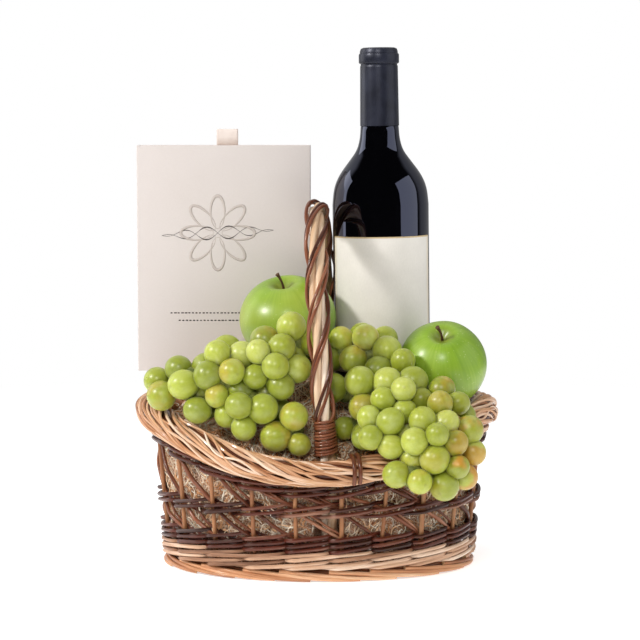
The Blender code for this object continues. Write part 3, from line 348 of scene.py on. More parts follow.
def wallAt(angle, height, outward=0.0):
    # Point (a cos t, b sin t, h) of the oval, moved outward along the oval's own normal.
    length, depth = wallAxes(height)
    normal = ovalNormal(angle, length, depth)
    return stacked(length * np.cos(angle) + outward * normal[..., 0],
                   depth * np.sin(angle) + outward * normal[..., 1], height)


ovalFine = np.linspace(-np.pi / 2, 3 * np.pi / 2, 2001)
ovalLength = np.concatenate([[0.0], np.cumsum(np.hypot(
    np.diff(wall["rimLength"] * np.cos(ovalFine)), np.diff(wall["rimDepth"] * np.sin(ovalFine))))])


def angleAt(position):
    # Angle of a place counted in stakes. Stake 0 stands half a spacing right of the middle.
    share = ((np.asarray(position, dtype=float) + 0.5) / wall["stakes"]) % 1.0
    return np.interp(share * ovalLength[-1], ovalLength, ovalFine)


def rimHeight(x):
    # The middle of the rim is low at the front and the back and rises to both ends.
    return wall["rimLow"] + wall["rimRise"] * np.clip(
        np.abs(x) / wall["rimLength"], 0.0, 1.0) ** wall["rimRisePower"]


def rimHalfHeight(x):
    low, high = wall["rimHalfHeight"]
    return low + np.clip(np.abs(x) / wall["rimLength"], 0.0, 1.0) * (high - low)


def rimUnder(angle):
    # Height of the rim's lower edge.
    x = wall["rimLength"] * np.cos(angle)
    return rimHeight(x) - rimHalfHeight(x) * wall["underSwell"] - wall["underGap"]


def smoothStep(low, high, value):
    share = np.clip((value - low) / (high - low), 0.0, 1.0)
    return share * share * (3.0 - 2.0 * share)


# Peeled and stained cane

caneLook = {
    "pale": (("4E2B1A", "AC754F", "D6A780", "F8E3CF"), 0.34, 0.3),
    "blond": (("402416", "986E54", "CAA284", "F6E4D0"), 0.34, 0.15),
    "amber": (("4E2B1A", "9C6442", "CF966C", "EECBA8"), 0.34, 0.3),
    "tan": (("40200F", "7E4F35", "A9754F", "D6AC88"), 0.44, 0.1),
    "russet": (("1C0B05", "542919", "885036", "C89E80"), 0.30, 0.30),
    "dark": (("100402", "38140B", "592619", "AC826A"), 0.26, 0.32),
    "cream": (("764A30", "C4996F", "E4C6A6", "FAEEE0"), 0.40, 0.2),
    "cut": (("8C5C3A", "C89A6C", "E6C499", "F0D8B4"), 0.75, 0.0),
    "cutDark": (("2A1510", "5A3526", "85573F", "A67A5C"), 0.75, 0.0),
}


def caneMaterial(name):
    # Colour from each rod's tone, long grain noise and slower blotches; the grain also stands up.
    codes, roughness, coat = caneLook[name]
    material, tree, shader = startMaterial(
        name + "Cane", Coat_Weight=coat, Coat_Roughness=0.13, Specular_IOR_Level=0.30,
        Specular_Tint=(1.0, 0.86, 0.76, 1.0))
    grain = attribute(tree, "grain", "Vector")
    fibre = spread(tree, grain, 1.0, 4.0, 0.6, (70.0, 1500.0, 1500.0))
    blotch = spread(tree, grain, 1.0, 3.0, 0.55, (26.0, 240.0, 240.0))
    value = weighted(tree, (attribute(tree, "tone"), 0.66), (fibre, 0.45), (blotch, 0.65))
    shade = math2(tree, "SUBTRACT", value, 0.37, True)
    colour = ramp(tree, shade, list(zip((0.06, 0.34, 0.62, 0.96), codes)))
    coloured(tree, shader, colour)
    roughened(tree, shader, fibre, 0.22, roughness - 0.08)
    bumped(tree, shader, fibre, 0.35, 0.0004)
    return material


cane = {name: caneMaterial(name) for name in caneLook}


def caned(name):
    # The material of a rod's side and that of its cut ends.
    return [cane[name], cane["cutDark" if name in ("russet", "dark") else "cut"]]


print("camera and cane ready")


# The foot: one rod under each stake, its cut left end high, its thin right end low and outermost

foot = {
    "length": 2.75, "radius": 0.0019, "thin": 0.70, "highLeft": 0.0074, "lowRight": 0.0018,
    "outLeft": -0.0012, "outRight": 0.0018, "rods": 20, "tailRadius": 0.0024,
    "tailHeight": (0.0028, 0.0068), "tailDepth": (-0.0046, -0.0050), "start": 0.35, "slide": 0.10,
    "wander": (0.00018, 0.0002), "thickness": (0.92, 1.06),
}


def makeFoot():
    draw = np.random.default_rng(41)
    count = foot["rods"]
    share = np.linspace(0.0, 1.0, 26)
    start = np.arange(count)[:, None] - foot["start"]
    start = start + draw.uniform(-foot["slide"], foot["slide"], (count, 1))
    angle = angleAt(start + foot["length"] * share)
    drop = smoothStep(-0.25, 1.0, share)
    drop = (drop - drop[0]) / (drop[-1] - drop[0])
    height = foot["highLeft"] + (foot["lowRight"] - foot["highLeft"]) * drop
    height = height + draw.normal(0.0, foot["wander"][0], (count, 1)) * np.sin(np.pi * share)
    outward = foot["outLeft"] + (foot["outRight"] - foot["outLeft"]) * smoothStep(0.0, 0.75, share)
    outward = outward + draw.normal(0.0, foot["wander"][1], (count, 1))
    radius = foot["radius"] * (1.0 + (foot["thin"] - 1.0) * share)
    radius = radius * draw.uniform(*foot["thickness"], (count, 1))
    rodPiece("footRods", "basket_foot", wallAt(angle, height, outward), wallNormal(angle),
             radius, 10, draw.uniform(0.25, 0.85, count), caned("amber"))
    # Two closed rings behind the rods shut the foot.
    lap = np.linspace(0.0, count + 0.5, 181)[None, :]
    angle = angleAt(lap + np.array([[0.0], [count / 2]]))
    paths = wallAt(angle, np.array(foot["tailHeight"])[:, None], np.array(foot["tailDepth"])[:, None])
    rodPiece("footTails", "basket_foot", paths, wallNormal(angle), foot["tailRadius"], 8,
             (0.10, 0.05), caned("amber"))


# Bands: rows of two or three rods, each inside one stake in two or three and climbing to the right

band = {
    "outside": 0.0031, "behind": -0.0052, "lean": 0.0019, "sides": 7, "stations": 14, "start": 0.55,
    "tuck": 0.40, "crest": 0.7, "wobble": 0.00036, "thickness": (0.82, 1.10),
}
# Bottom is a height, or for the upper band a drop below the rim.
bandLook = {
    "lightBand": {"node": "basket_light_band", "cane": "blond", "rods": 3, "rows": 2, "pitch": 0.0068,
                  "radius": 0.00158, "swing": 0.0032, "seed": 3, "tones": (0.14, 0.95), "bottom": 0.0093},
    "lowerBand": {"node": "basket_lower_band", "cane": "dark", "rods": 2, "rows": 3, "pitch": 0.0044,
                  "radius": 0.00162, "swing": 0.0026, "seed": 4, "tones": (0.15, 0.75), "bottom": 0.0227},
    "middleBand": {"node": "basket_middle_band", "cane": "dark", "rods": 2, "rows": 2, "pitch": 0.0048,
                   "radius": 0.00162, "swing": 0.0030, "seed": 5, "tones": (0.15, 0.80), "bottom": 0.0502},
    "upperBand": {"node": "basket_upper_band", "cane": "dark", "rods": 2, "rows": 2, "pitch": 0.0046,
                  "radius": 0.00158, "swing": 0.0026, "seed": 6, "tones": (0.15, 0.70), "bottom": -0.0092},
}


def makeBand(name):
    look = bandLook[name]
    count, rows, rods = wall["stakes"], look["rows"], look["rods"]
    draw = np.random.default_rng(look["seed"])
    position = np.linspace(0.0, rows * count, rows * count * band["stations"] + 1)[None, :]
    rod = np.arange(rods)[:, None]
    # Where each lap would repeat the last one, the rods skip a stake as they start it.
    skip = sum(smoothStep(lap * count - 1.0, lap * count + 1.0, position) for lap in range(1, rows))
    wound = position - rod - band["start"] - (skip if count % rods == 0 else 0.0)
    phase = wound % rods
    outside = smoothStep(0.0, band["tuck"], phase)
    outside = outside * (1.0 - smoothStep(rods - 1.0, rods - 1.0 + band["tuck"], phase))
    crest = rods - band["crest"]
    climb = np.where(phase < crest, phase / crest, 1.0 - smoothStep(crest, rods, phase))
    row = np.clip(position / count - 0.5, 0.0, rows - 1.0)
    row = np.floor(row) + smoothStep(0.0, 1.0, (row % 1.0))
    marks = np.arange(rows * count + 2)
    wobble = [np.interp(position[0], marks, draw.normal(0.0, band["wobble"], len(marks)))
              for _ in range(rods)]
    thick = [np.interp(position[0], marks, draw.uniform(*band["thickness"], len(marks)))
             for _ in range(rods)]
    angle = angleAt(position + count / 2 + 0.0 * rod)
    bottom = look["bottom"] + (rimUnder(angle) if look["bottom"] < 0.0 else 0.0)
    height = bottom + (row + 0.5) * look["pitch"] + look["swing"] * (2.0 * climb - 1.0) + wobble
    reach = band["outside"] - band["lean"] * climb
    outward = band["behind"] + outside * (reach - band["behind"])
    paths = wallAt(angle, height, outward)
    # Each stretch between two tucks has its own tone, as it does with many short rods.
    strokes = draw.uniform(*look["tones"], (rods, rows * count))
    number = np.clip((wound // rods).astype(int) + 1, 0, rows * count - 1)
    tones = np.take_along_axis(strokes, number, axis=1)
    rodPiece(name, look["node"], paths, wallNormal(angle), look["radius"] * np.array(thick),
             band["sides"], tones, caned(look["cane"]))


# Stakes and slanting rods

net = {
    "stakeRadius": 0.0018, "stakeFoot": 0.0090, "stakeTuck": 0.002, "sway": 0.0007, "depth": -0.0016,
    "slantRadius": 0.0016, "lowTier": (0.0352, 0.0510), "highTier": 0.0588, "highTierLeast": 0.0650,
    "highTierDrop": 0.0088, "slantOver": 0.0030, "slantUnder": 0.0060, "thin": 0.72, "thinShare": 0.7,
    "slide": 0.10, "thinShift": (0.22, 0.132), "bow": 0.0034, "wander": 0.0006,
}


def makeNet():
    count = wall["stakes"]
    draw = np.random.default_rng(17)
    number = np.arange(count)
    angles = angleAt(number)
    share = np.linspace(0.0, 1.0, 14)
    low = net["stakeFoot"]
    top = rimUnder(angles) + net["stakeTuck"]
    sway = draw.normal(0.0, net["sway"], (count, 2))
    height = low + (top[:, None] - low) * share
    bend = sway[:, :1] * np.sin(np.pi * share) + sway[:, 1:] * np.sin(2 * np.pi * share)
    paths = wallAt(angleAt(number[:, None] + bend / 0.035), height, net["depth"])
    radius = net["stakeRadius"] * draw.uniform(0.88, 1.12, (count, 1))
    rodPiece("stakes", "basket_net", paths, wallNormal(angles)[:, None, :], radius, 8,
             draw.uniform(0.35, 0.9, count), caned("tan"))

    # Slanting rods cross each opening from the left stake's top to the right stake's foot. Every
    # opening has a stout one, and most have a thinner one beside it.
    highTop = np.maximum(rimUnder(angles) - net["highTierDrop"], net["highTierLeast"])
    tiers = [np.broadcast_arrays(*net["lowTier"], angles)[:2],
             np.broadcast_arrays(net["highTier"], highTop)]
    paths, middles, radii = [], [], []
    for low, high in tiers:
        for thin in (False, True):
            chosen = number if not thin else number[draw.uniform(size=count) < net["thinShare"]]
            size = len(chosen)
            slide = draw.uniform(-net["slide"], net["slide"], (size, 2))
            slide = slide + (net["thinShift"] if thin else 0.0)
            start = chosen + 0.02 + slide[:, 0]
            end = chosen + 0.98 + slide[:, 1]
            spot = start[:, None] + (end - start)[:, None] * share
            tall = high[chosen][:, None] + net["slantOver"] + (low - high)[chosen][:, None] * share
            tall = tall - net["slantUnder"] * share
            deep = net["depth"] + net["slantRadius"] - net["bow"] * np.abs(2 * share - 1.0)
            deep = deep + net["wander"] * draw.normal(size=(size, 1))
            paths.append(wallAt(angleAt(spot), tall, deep - (net["slantRadius"] if thin else 0.0)))
            middles.append(wallNormal(angleAt(chosen + 0.5)))
            thick = net["slantRadius"] * (net["thin"] if thin else 1.0)
            radii.append(thick * draw.uniform(0.85, 1.12, (size, 1)))
    paths, middles, radii = np.concatenate(paths), np.concatenate(middles), np.concatenate(radii)
    rodPiece("slants", "basket_net", paths, middles[:, None, :], radii, 8,
             draw.uniform(0.15, 0.85, len(paths)), caned("russet"))


# The rim: bundles of rods that wind round the border, steep over its top and flat under it

rim = {
    "bundles": 6, "rods": 6, "turns": 10 / 3, "radius": 0.00112, "spacing": 0.168,
    "steep": 0.42, "tuck": 0.19, "wander": 0.12, "swell": 1.10, "leftSwell": 0.20, "heart": 0.80,
    "start": 0.6, "tuckWander": 0.032, "radiusWander": 0.05, "thickness": (0.80, 1.14),
}
lashing = {"places": (0.0245, 0.0285), "reach": 0.0022, "radius": 0.0016, "over": 118.0, "under": -38.0}


def rimFrame(angle):
    x = wall["rimLength"] * np.cos(angle)
    centre = stacked(x, wall["rimDepth"] * np.sin(angle), rimHeight(x))
    return centre, ovalNormal(angle, wall["rimLength"], wall["rimDepth"])


def makeRim():
    # Each rod: centre + outward W cos p + up H sin p, with p falling as the rod runs round.
    draw = np.random.default_rng(29)
    share = np.linspace(-0.006, 1.006, 300)
    angle = angleAt(share * wall["stakes"] + wall["stakes"] / 2)
    centre, outward = rimFrame(angle)
    bundle, rod = np.meshgrid(np.arange(rim["bundles"]), np.arange(rim["rods"]), indexing="ij")
    bundle, rod = bundle.ravel()[:, None], rod.ravel()[:, None]
    count = len(rod)

    def waves(size, turns):
        # For each rod a sum of sines of random size and shift, one for each number of turns.
        shift = draw.uniform(0.0, 1.0, (count, len(turns)))
        return sum(draw.normal(0.0, size, (count, 1)) * np.sin(2 * np.pi * (share * turn + shift[:, [place]]))
                   for place, turn in enumerate(turns))

    place = 2 * np.pi * (bundle / rim["bundles"] - rim["turns"] * share) + rim["start"]
    place = place + rim["spacing"] * (rod - (rim["rods"] - 1) / 2) + waves(rim["wander"], (3, 7, 12, 17))
    place = place + rim["steep"] * np.sin(place - np.pi / 2)
    tuck = 1.0 - rim["tuck"] * rod / (rim["rods"] - 1) + waves(rim["tuckWander"], (5, 9, 16))
    left = 1.0 + rim["leftSwell"] * smoothStep(0.78, 1.0, -centre[:, 0] / wall["rimLength"])
    wide = (wall["rimHalfWidth"] * rim["swell"] - rim["radius"]) * tuck * left
    tall = (rimHalfHeight(centre[:, 0]) * rim["swell"] - rim["radius"]) * tuck
    arm = outward[None] * (wide * np.cos(place))[..., None]
    arm[..., 2] += tall * np.sin(place)
    radius = rim["radius"] * draw.uniform(*rim["thickness"], (count, 1))
    radius = radius * (1.0 + waves(rim["radiusWander"], (4, 9)))
    rodPiece("rimRods", "basket_rim", centre[None] + arm, unit(arm), radius, 7,
             draw.uniform(0.1, 1.0, count), caned("pale"))
    # A dark ring in the middle of the border, painted shade seen only through the gaps between the rods.
    rodPiece("rimShadeRing", "basket_rim", centre[None], outward[None],
             rimHalfHeight(centre[:, 0]) * rim["heart"], 12, (0.30,), [cane["russet"]], 0.90)


def lashingPath(x, stations):
    # A rod bent over the rim from its top to its lower edge, and the way that each point faces.
    centre, outward = rimFrame(np.full(stations, -math.acos(x / wall["rimLength"])))
    place = np.linspace(math.radians(lashing["over"]), math.radians(lashing["under"]), stations)
    arm = outward * ((wall["rimHalfWidth"] * wall["rimSwell"] + lashing["reach"]) * np.cos(place))[:, None]
    arm[:, 2] += (rimHalfHeight(x) * wall["rimSwell"] + lashing["reach"]) * np.sin(place)
    return centre + arm, unit(arm)


def makeLashings():
    for number, x in enumerate(lashing["places"]):
        path, facing = lashingPath(x, 40)
        rodPiece(f"lashing{number + 1}", f"rim_lashing_{number + 1}", [path], [facing],
                 lashing["radius"], 10, (0.40,), caned("russet"))


makeFoot()
for bandName in bandLook:
    makeBand(bandName)
makeNet()
makeRim()
makeLashings()
print("basket woven")


# The handle

handle = {
    "top": 0.2745, "spring": 0.135, "legShare": 0.29, "halfSpan": 0.076, "footSpan": 0.0658,
    "splay": 0.0100, "foot": 0.0078, "coreRadius": 0.0030, "coreReach": 0.0034, "twist": 0.260,
    "wraps": 3, "wrapPitch": 0.112, "wrapReach": 0.0079, "wrapRadius": 0.00136, "wrapTuck": 0.0060,
    "wrapDip": 0.0056, "bindLow": 0.0950, "bindHigh": 0.1240, "bindTurns": 11.5,
    "bindReach": (0.0094, 0.0082), "bindRadius": 0.00108, "backLean": 0.13, "frontLean": 0.0098,
    "pairGap": 0.00008, "pairSway": 0.00042, "pairLift": 0.00030,
}


def handleTrack():
    # The arch from the front foot to the back one: two straight legs and a quarter of an oval on
    # each. Both halves drift to the right on their way down.
    share = np.linspace(0.0, 1.0, 801)
    back = share >= 0.5
    near = np.where(back, 1.0 - share, share)
    low = near < handle["legShare"]
    straight = handle["foot"] + (handle["spring"] - handle["foot"]) * near / handle["legShare"]
    bend = (near - handle["legShare"]) / (0.5 - handle["legShare"]) * np.pi / 2
    height = np.where(low, straight, handle["spring"] + (handle["top"] - handle["spring"]) * np.sin(bend))
    span = handle["footSpan"] + handle["splay"] * (height - 0.006) / (wall["rimLow"] - 0.006)
    span = np.where(low, np.minimum(span, handle["halfSpan"]), handle["halfSpan"] * np.cos(bend))
    backX = np.minimum(-0.001 + handle["backLean"] * (handle["top"] - height), 0.0160)
    drop = np.maximum(0.235 - height, 0.0) / 0.170
    frontX = np.minimum(-0.0016 + handle["frontLean"] * drop ** 1.3, 0.0085)
    return stacked(np.where(back, backX, frontX), np.where(back, span, -span), height)


track = handleTrack()
trackLength = np.concatenate([[0.0], np.cumsum(np.linalg.norm(np.diff(track, axis=0), axis=1))])


def handleAt(distance):
    # Position on the arch and the two directions across it.
    def spotAt(place):
        return stacked(*(np.interp(place, trackLength, track[:, axis]) for axis in range(3)))

    along = unit(spotAt(distance + 0.006) - spotAt(distance - 0.006))
    across = unit(np.array((1.0, 0.0, 0.0)) - along * along[..., :1])
    return spotAt(distance), across, np.cross(along, across)


def handleDistance(height, back):
    # How far along the arch the front leg, or the back one, is at this height.
    half = len(track) // 2
    if back:
        return float(np.interp(-height, -track[half:, 2], trackLength[half:]))
    return float(np.interp(height, track[:half, 2], trackLength[:half]))


def aroundHandle(distance, reach, place):
    # Path at this reach from the arch's middle, turned by place about it.
    spot, across, inward = handleAt(distance)
    out = np.cos(place)[..., None] * across + np.sin(place)[..., None] * inward
    reach = np.broadcast_to(reach, place.shape)
    return spot + reach[..., None] * out, out


def makeHandle():
    draw = np.random.default_rng(53)
    distance = np.linspace(0.0, trackLength[-1], 150)
    number = np.arange(3)[:, None]
    place = 2 * np.pi * number / 3 + 2 * np.pi * distance / handle["twist"]
    paths, out = aroundHandle(distance, handle["coreReach"], place)
    radius = handle["coreRadius"] * (1.0 + 0.06 * np.sin(distance * 55.0 + 2.0 * number))
    rodPiece("handleRods", "handle_core", paths, out, radius, 12, (0.60, 0.85, 0.45),
             caned("cream"))

    # Pairs of rods side by side wind round those, from one binding over the top to the other.
    start = handleDistance(handle["bindHigh"] - handle["wrapTuck"], False)
    end = handleDistance(handle["bindHigh"] - handle["wrapTuck"], True)
    distance = np.linspace(start, end, 280)
    # Their ends dip under the bindings.
    rise = smoothStep(0.0, 1.5 * handle["wrapTuck"], np.minimum(distance - start, end - distance))
    reach = handle["wrapDip"] + (handle["wrapReach"] - handle["wrapDip"]) * rise
    slant = 2 * np.pi * handle["wrapReach"] / handle["wrapPitch"]
    lean = 1.0 / math.hypot(1.0, slant)
    pair = np.array([[-1.0], [1.0]])
    for wrap in range(handle["wraps"]):
        wound = (distance - start - handle["wrapTuck"] - 0.004) / handle["wrapPitch"]
        place = 2 * np.pi * (wound + wrap / handle["wraps"])
        shift, speed = draw.uniform(0.0, 2 * np.pi, (2, 1)), draw.uniform(35.0, 80.0, (2, 1))
        step = pair * (handle["wrapRadius"] + handle["pairGap"])
        step = step + handle["pairSway"] * np.sin(distance * speed + shift)
        turned = place + step * lean / handle["wrapReach"]
        lift = reach + handle["pairLift"] * np.sin(distance * speed * 0.7 + shift)
        paths, out = aroundHandle(distance - step * slant * lean, lift, turned)
        radius = handle["wrapRadius"] * draw.uniform(0.88, 1.06, (2, 1)) + 0.0 * distance
        rodPiece(f"handleWrap{wrap + 1}", f"handle_wrap_{wrap + 1}", paths, out, radius, 10,
                 draw.uniform(0.12, 0.70, 2), caned("russet"))

    # Fine rod wound close round the foot of each leg, wider towards the rim.
    for name, node, back in (("bindingFront", "handle_binding_front", False),
                             ("bindingBack", "handle_binding_back", True)):
        turns = handle["bindTurns"]
        share = np.linspace(0.0, 1.0, int(turns * 26))
        low = handleDistance(handle["bindLow"] + 0.0012, back)
        high = handleDistance(handle["bindHigh"] - 0.0012, back)
        place = 2 * np.pi * turns * share
        thin = handle["bindRadius"]
        wide, narrow = handle["bindReach"]
        reach = wide + (narrow - wide) * share - thin
        tilt = 0.0014 * (1.0 - share) * np.sin(place + 0.6) + 0.0003 * np.sin(place * 0.37)
        paths, out = aroundHandle(low + (high - low) * share + tilt, reach, place)
        rodPiece(name, node, paths[None], out[None], thin, 8, (0.55,), caned("russet"))


makeHandle()
print("handle wound")


# Wood wool: a close mound with loose curls on it

wool = {
    "low": 0.0092, "wallGap": 0.0075, "rimGap": 0.0130, "leftTop": 0.150, "rightTop": 0.140,
    "backExtra": 0.012, "steepFront": 1.05, "steepBack": 9.0, "appleSwell": 0.012, "rimCover": 0.0005,
    "wallCurls": 4300, "topCurls": 3000, "stations": 8, "curlRadius": (0.00034, 0.00066),
    "legX": 0.0075, "legDepth": 0.0165, "legHalfWidth": 0.0098, "legReach": 0.011, "rimTuck": 0.0025,
    "lumps": (0.0006, 0.0007), "clearRim": 0.945, "clearBox": (0.004, 0.042), "clearBottle": 0.041,
    "clearApple": 0.62,
}
# Each line of the glass and the capsule is pairs of height over the base and radius.
bottle = {
    "base": (0.0515, 0.0336, 0.0800), "lean": 0.8,
    "glass": (
        (0.0000, 0.0345), (0.0060, 0.0379), (0.1980, 0.0379), (0.2110, 0.0367), (0.2215, 0.0322),
        (0.2320, 0.0243), (0.2405, 0.0180), (0.2500, 0.0155), (0.2590, 0.0150), (0.2602, 0.0137),
        (0.3140, 0.0130)),
    "capsule": (
        (0.2594, 0.0149), (0.2595, 0.0153), (0.3050, 0.0148), (0.3062, 0.0147), (0.3070, 0.0143),
        (0.3078, 0.0144), (0.3083, 0.0155), (0.3090, 0.0158), (0.3146, 0.0158), (0.3156, 0.0155),
        (0.3160, 0.0149), (0.3178, 0.0148), (0.3196, 0.0141), (0.3204, 0.0124)),
    "belly": 0.0379, "labelLow": 0.0680, "labelHigh": 0.1740, "labelHalfAngle": 70.7,
    "labelReach": (0.03865, 0.03805),
}
# Of each apple: its centre, its radius, and its tilts forward and sideways in degrees.
appleList = {
    "apple_left": ((-0.0240, 0.0010, 0.1895), 0.0375, 19.0, -7.0),
    "apple_right": ((0.0952, -0.0230, 0.1566), 0.0336, 36.0, -4.0),
}
moundLength = wall["rimLength"] - wool["rimGap"]
moundDepth = wall["rimDepth"] - wool["rimGap"]


def woolHeight(x, y):
    # Top of the mound: high under the left apple and the box, lower towards the rim.
    out = np.clip(np.hypot(x / moundLength, y / moundDepth), 0.0, 1.0)
    edge = rimHeight(x) + wool["rimCover"]
    right = smoothStep(0.0, 0.040, x)
    back = smoothStep(0.0, 0.040, y) * (1.0 - smoothStep(-0.010, 0.020, x))
    top = wool["leftTop"] + (wool["rightTop"] - wool["leftTop"]) * right + wool["backExtra"] * back
    steep = wool["steepFront"] + (wool["steepBack"] - wool["steepFront"]) * back
    height = edge + (top - edge) * (1.0 - out ** steep)
    for (appleX, appleY, _), radius, _, _ in appleList.values():
        near = np.hypot(x - appleX, y - appleY) / radius
        height = height + wool["appleSwell"] * np.exp(-near ** 2)
    return height


def woolCurlMaterial():
    material, tree, shader = startMaterial("woolCurl", Roughness=0.62, Specular_IOR_Level=0.25)
    place = objectPlace(tree)
    clumps = spread(tree, place, 90.0, 4.0, 0.6)
    fibre = spread(tree, place, 620.0, 4.0, 0.65, (1.0, 1.0, 1.8))
    value = weighted(tree, (fibre, 0.24), (clumps, 0.16), (attribute(tree, "tone"), 0.6))
    coloured(tree, shader, ramp(tree, value, (
        (0.20, "B4703E"), (0.38, "ECB888"), (0.54, "FFE2C0"), (0.76, "FFF6E4"))))
    bumped(tree, shader, fibre, 0.7, 0.0002)
    return material


def woolMoundMaterial():
    # Tangled strands: two nets of thin light lines, bent by noise, over brown shade.
    material, tree, shader = startMaterial("woolMound", Roughness=0.85, Specular_IOR_Level=0.25)
    place = objectPlace(tree)
    bend = addNode(tree, "TexNoise", {"Vector": place, "Scale": 190.0, "Detail": 2.0}).outputs["Color"]
    bent = addNode(tree, "VectorMath", {0: bend, 1: (0.007, 0.007, 0.007), 2: place},
                   operation="MULTIPLY_ADD").outputs[0]
    strands = []
    for scale, width in ((330.0, 0.10), (560.0, 0.12)):
        net = addNode(tree, "TexVoronoi", {"Vector": bent, "Scale": scale}, feature="DISTANCE_TO_EDGE")
        strands.append(ranged(tree, net.outputs["Distance"], 0.0, width, 1.0, 0.0))
    clumps = spread(tree, place, 90.0, 4.0, 0.6)
    value = weighted(tree, (strands[0], 0.46), (strands[1], 0.34), (clumps, 0.44))
    coloured(tree, shader, ramp(tree, value, (
        (0.10, "5E2C16"), (0.26, "BA825E"), (0.48, "EAC4A4"), (0.76, "FFF2E0"))))
    bumped(tree, shader, value, 0.8, 0.0012)
    return material


def makeWoolMound():
    # Wall rows rise from the floor to under the rim, then top rows close in to the crown.
    around, wallRows, topRows = 150, 16, 26
    angle = angleAt(np.arange(around) * wall["stakes"] / around)
    draw = np.random.default_rng(7)
    share = np.linspace(0.0, 1.0, wallRows)[:, None]
    height = wool["low"] + (rimUnder(angle) - wool["rimTuck"] - wool["low"]) * share
    sideLump, topLump = wool["lumps"]
    lumps = draw.normal(0.0, sideLump, (wallRows, around))
    # The leg of the handle shows through the wall, so the mound steps back from it.
    nearLeg = np.exp(-((wallAt(angle, 0.05)[:, 0] - wool["legX"]) / wool["legReach"]) ** 6)
    outward = -wool["wallGap"] - sideLump + lumps - wool["legDepth"] * nearLeg
    side = wallAt(angle + 0.0 * height, height, outward)
    share = (1.0 - np.arange(topRows) / topRows)[:, None]
    x = moundLength * np.cos(angle) * share
    y = moundDepth * np.sin(angle) * share
    bumps = draw.normal(0.0, topLump, (topRows, around))
    rings = np.concatenate([side, stacked(x, y, woolHeight(x, y) + bumps - sideLump)])
    points, quads, ends = closedSkin(rings, (0, 0, wool["low"]), (0, 0, woolHeight(0.0, 0.0)))
    basketPiece("woolMound", "wood_wool", points, [quads, ends], [woolMoundMaterial()],
                None, 0.0)


def curlPaths(start, heading, turning, step, draw):
    # Flat curls: the heading turns as the curl runs, by a share of its own that drifts.
    size = (len(start), wool["stations"])
    drift = np.cumsum(draw.normal(0.0, 0.12, size), axis=1)
    course = heading[:, None] + turning[:, None] * np.arange(size[1]) + drift
    flat = stacked(np.cos(course), np.sin(course)) * step[:, None, None]
    return start[:, None, :] + np.cumsum(flat, axis=1) - flat[:, :1]


def layCurls(name, paths, outward, keep, draw, material):
    # Three-sided strands, thin at both ends, each with a tone of its own.
    paths = paths[keep]
    taper = 1.0 - 0.55 * np.abs(np.linspace(-1.0, 1.0, paths.shape[1])) ** 3
    radius = draw.uniform(*wool["curlRadius"], (len(paths), 1)) * taper
    tones = draw.beta(1.3, 1.1, len(paths))
    rodPiece(name, "wood_wool", paths, outward[keep], radius, 3, tones, [material], 0.75, 0.0)


def makeCurls():
    draw = np.random.default_rng(12)
    material = woolCurlMaterial()
    run = np.arange(wool["stations"])
    # On the wall: the plane of a curl is length round the oval and height.
    count = wool["wallCurls"]
    around = draw.uniform(0.0, ovalLength[-1], count)
    tall = draw.uniform(0.030, 0.115, count)
    step = draw.uniform(0.0010, 0.0028, count)
    flat = curlPaths(stacked(around, tall), draw.uniform(0.0, 2 * np.pi, count),
                     draw.normal(0.0, 0.33, count), step, draw)
    angle = angleAt(flat[..., 0] / ovalLength[-1] * wall["stakes"] - 0.5)
    height = np.clip(flat[..., 1], 0.012, rimUnder(angle) - 0.001)
    wave = draw.uniform(0.0, 2 * np.pi, (count, 1))
    deep = draw.uniform(-0.0078, -0.0040, (count, 1)) + 0.0010 * np.sin(wave + run * 0.9)
    besideLeg = wallAt(angle, 0.05)[..., 0] - wool["legX"]
    nearLeg = (np.sin(angle) < 0.0) & (np.abs(besideLeg) < wool["legHalfWidth"])
    layCurls("woolWallCurls", wallAt(angle, height, deep), wallNormal(angle), ~nearLeg.any(axis=1),
             draw, material)

    # On top: the plane is the mound seen from above.
    count = wool["topCurls"]
    turn = draw.uniform(0.0, 2 * np.pi, count)
    share = np.sqrt(draw.uniform(0.10, 1.10, count))
    start = stacked(moundLength * np.cos(turn) * share, moundDepth * np.sin(turn) * share)
    step = draw.uniform(0.0014, 0.0034, count)
    flat = curlPaths(start, draw.uniform(0.0, 2 * np.pi, count), draw.normal(0.0, 0.33, count), step, draw)
    lift = 0.0007 + np.maximum(np.abs(draw.normal(0.0, 0.0016, (count, 1))) + 0.0012 * np.sin(
        draw.uniform(0.0, 2 * np.pi, (count, 1)) + run * 0.8), -0.0003)
    out = np.hypot(flat[..., 0] / wall["rimLength"], flat[..., 1] / wall["rimDepth"])
    keep = out.max(axis=1) < wool["clearRim"]
    # None lies where the box, the bottle or an apple stands.
    boxRight, boxFront = wool["clearBox"]
    box = (flat[..., 1] > boxFront) & (flat[..., 0] < boxRight)
    fromBottle = np.hypot(flat[..., 0] - bottle["base"][0], flat[..., 1] - bottle["base"][1])
    stand = fromBottle < wool["clearBottle"]
    keep &= ~(box.any(axis=1) | stand.any(axis=1))
    for (appleX, appleY, _), radius, _, _ in appleList.values():
        fromApple = np.hypot(flat[..., 0] - appleX, flat[..., 1] - appleY).min(axis=1)
        keep &= fromApple > radius * wool["clearApple"]
    paths = np.concatenate([flat, (woolHeight(flat[..., 0], flat[..., 1]) + lift)[..., None]], -1)
    up = np.broadcast_to(np.array((0.0, 0.0, 1.0)), paths.shape)
    layCurls("woolTopCurls", paths, up, keep, draw, material)


makeWoolMound()
makeCurls()
print("wood wool laid")


# The bottle

bottlePlace = Matrix.Translation(Vector(bottle["base"])) @ Matrix.Rotation(
    -math.radians(bottle["lean"]), 4, "Y")


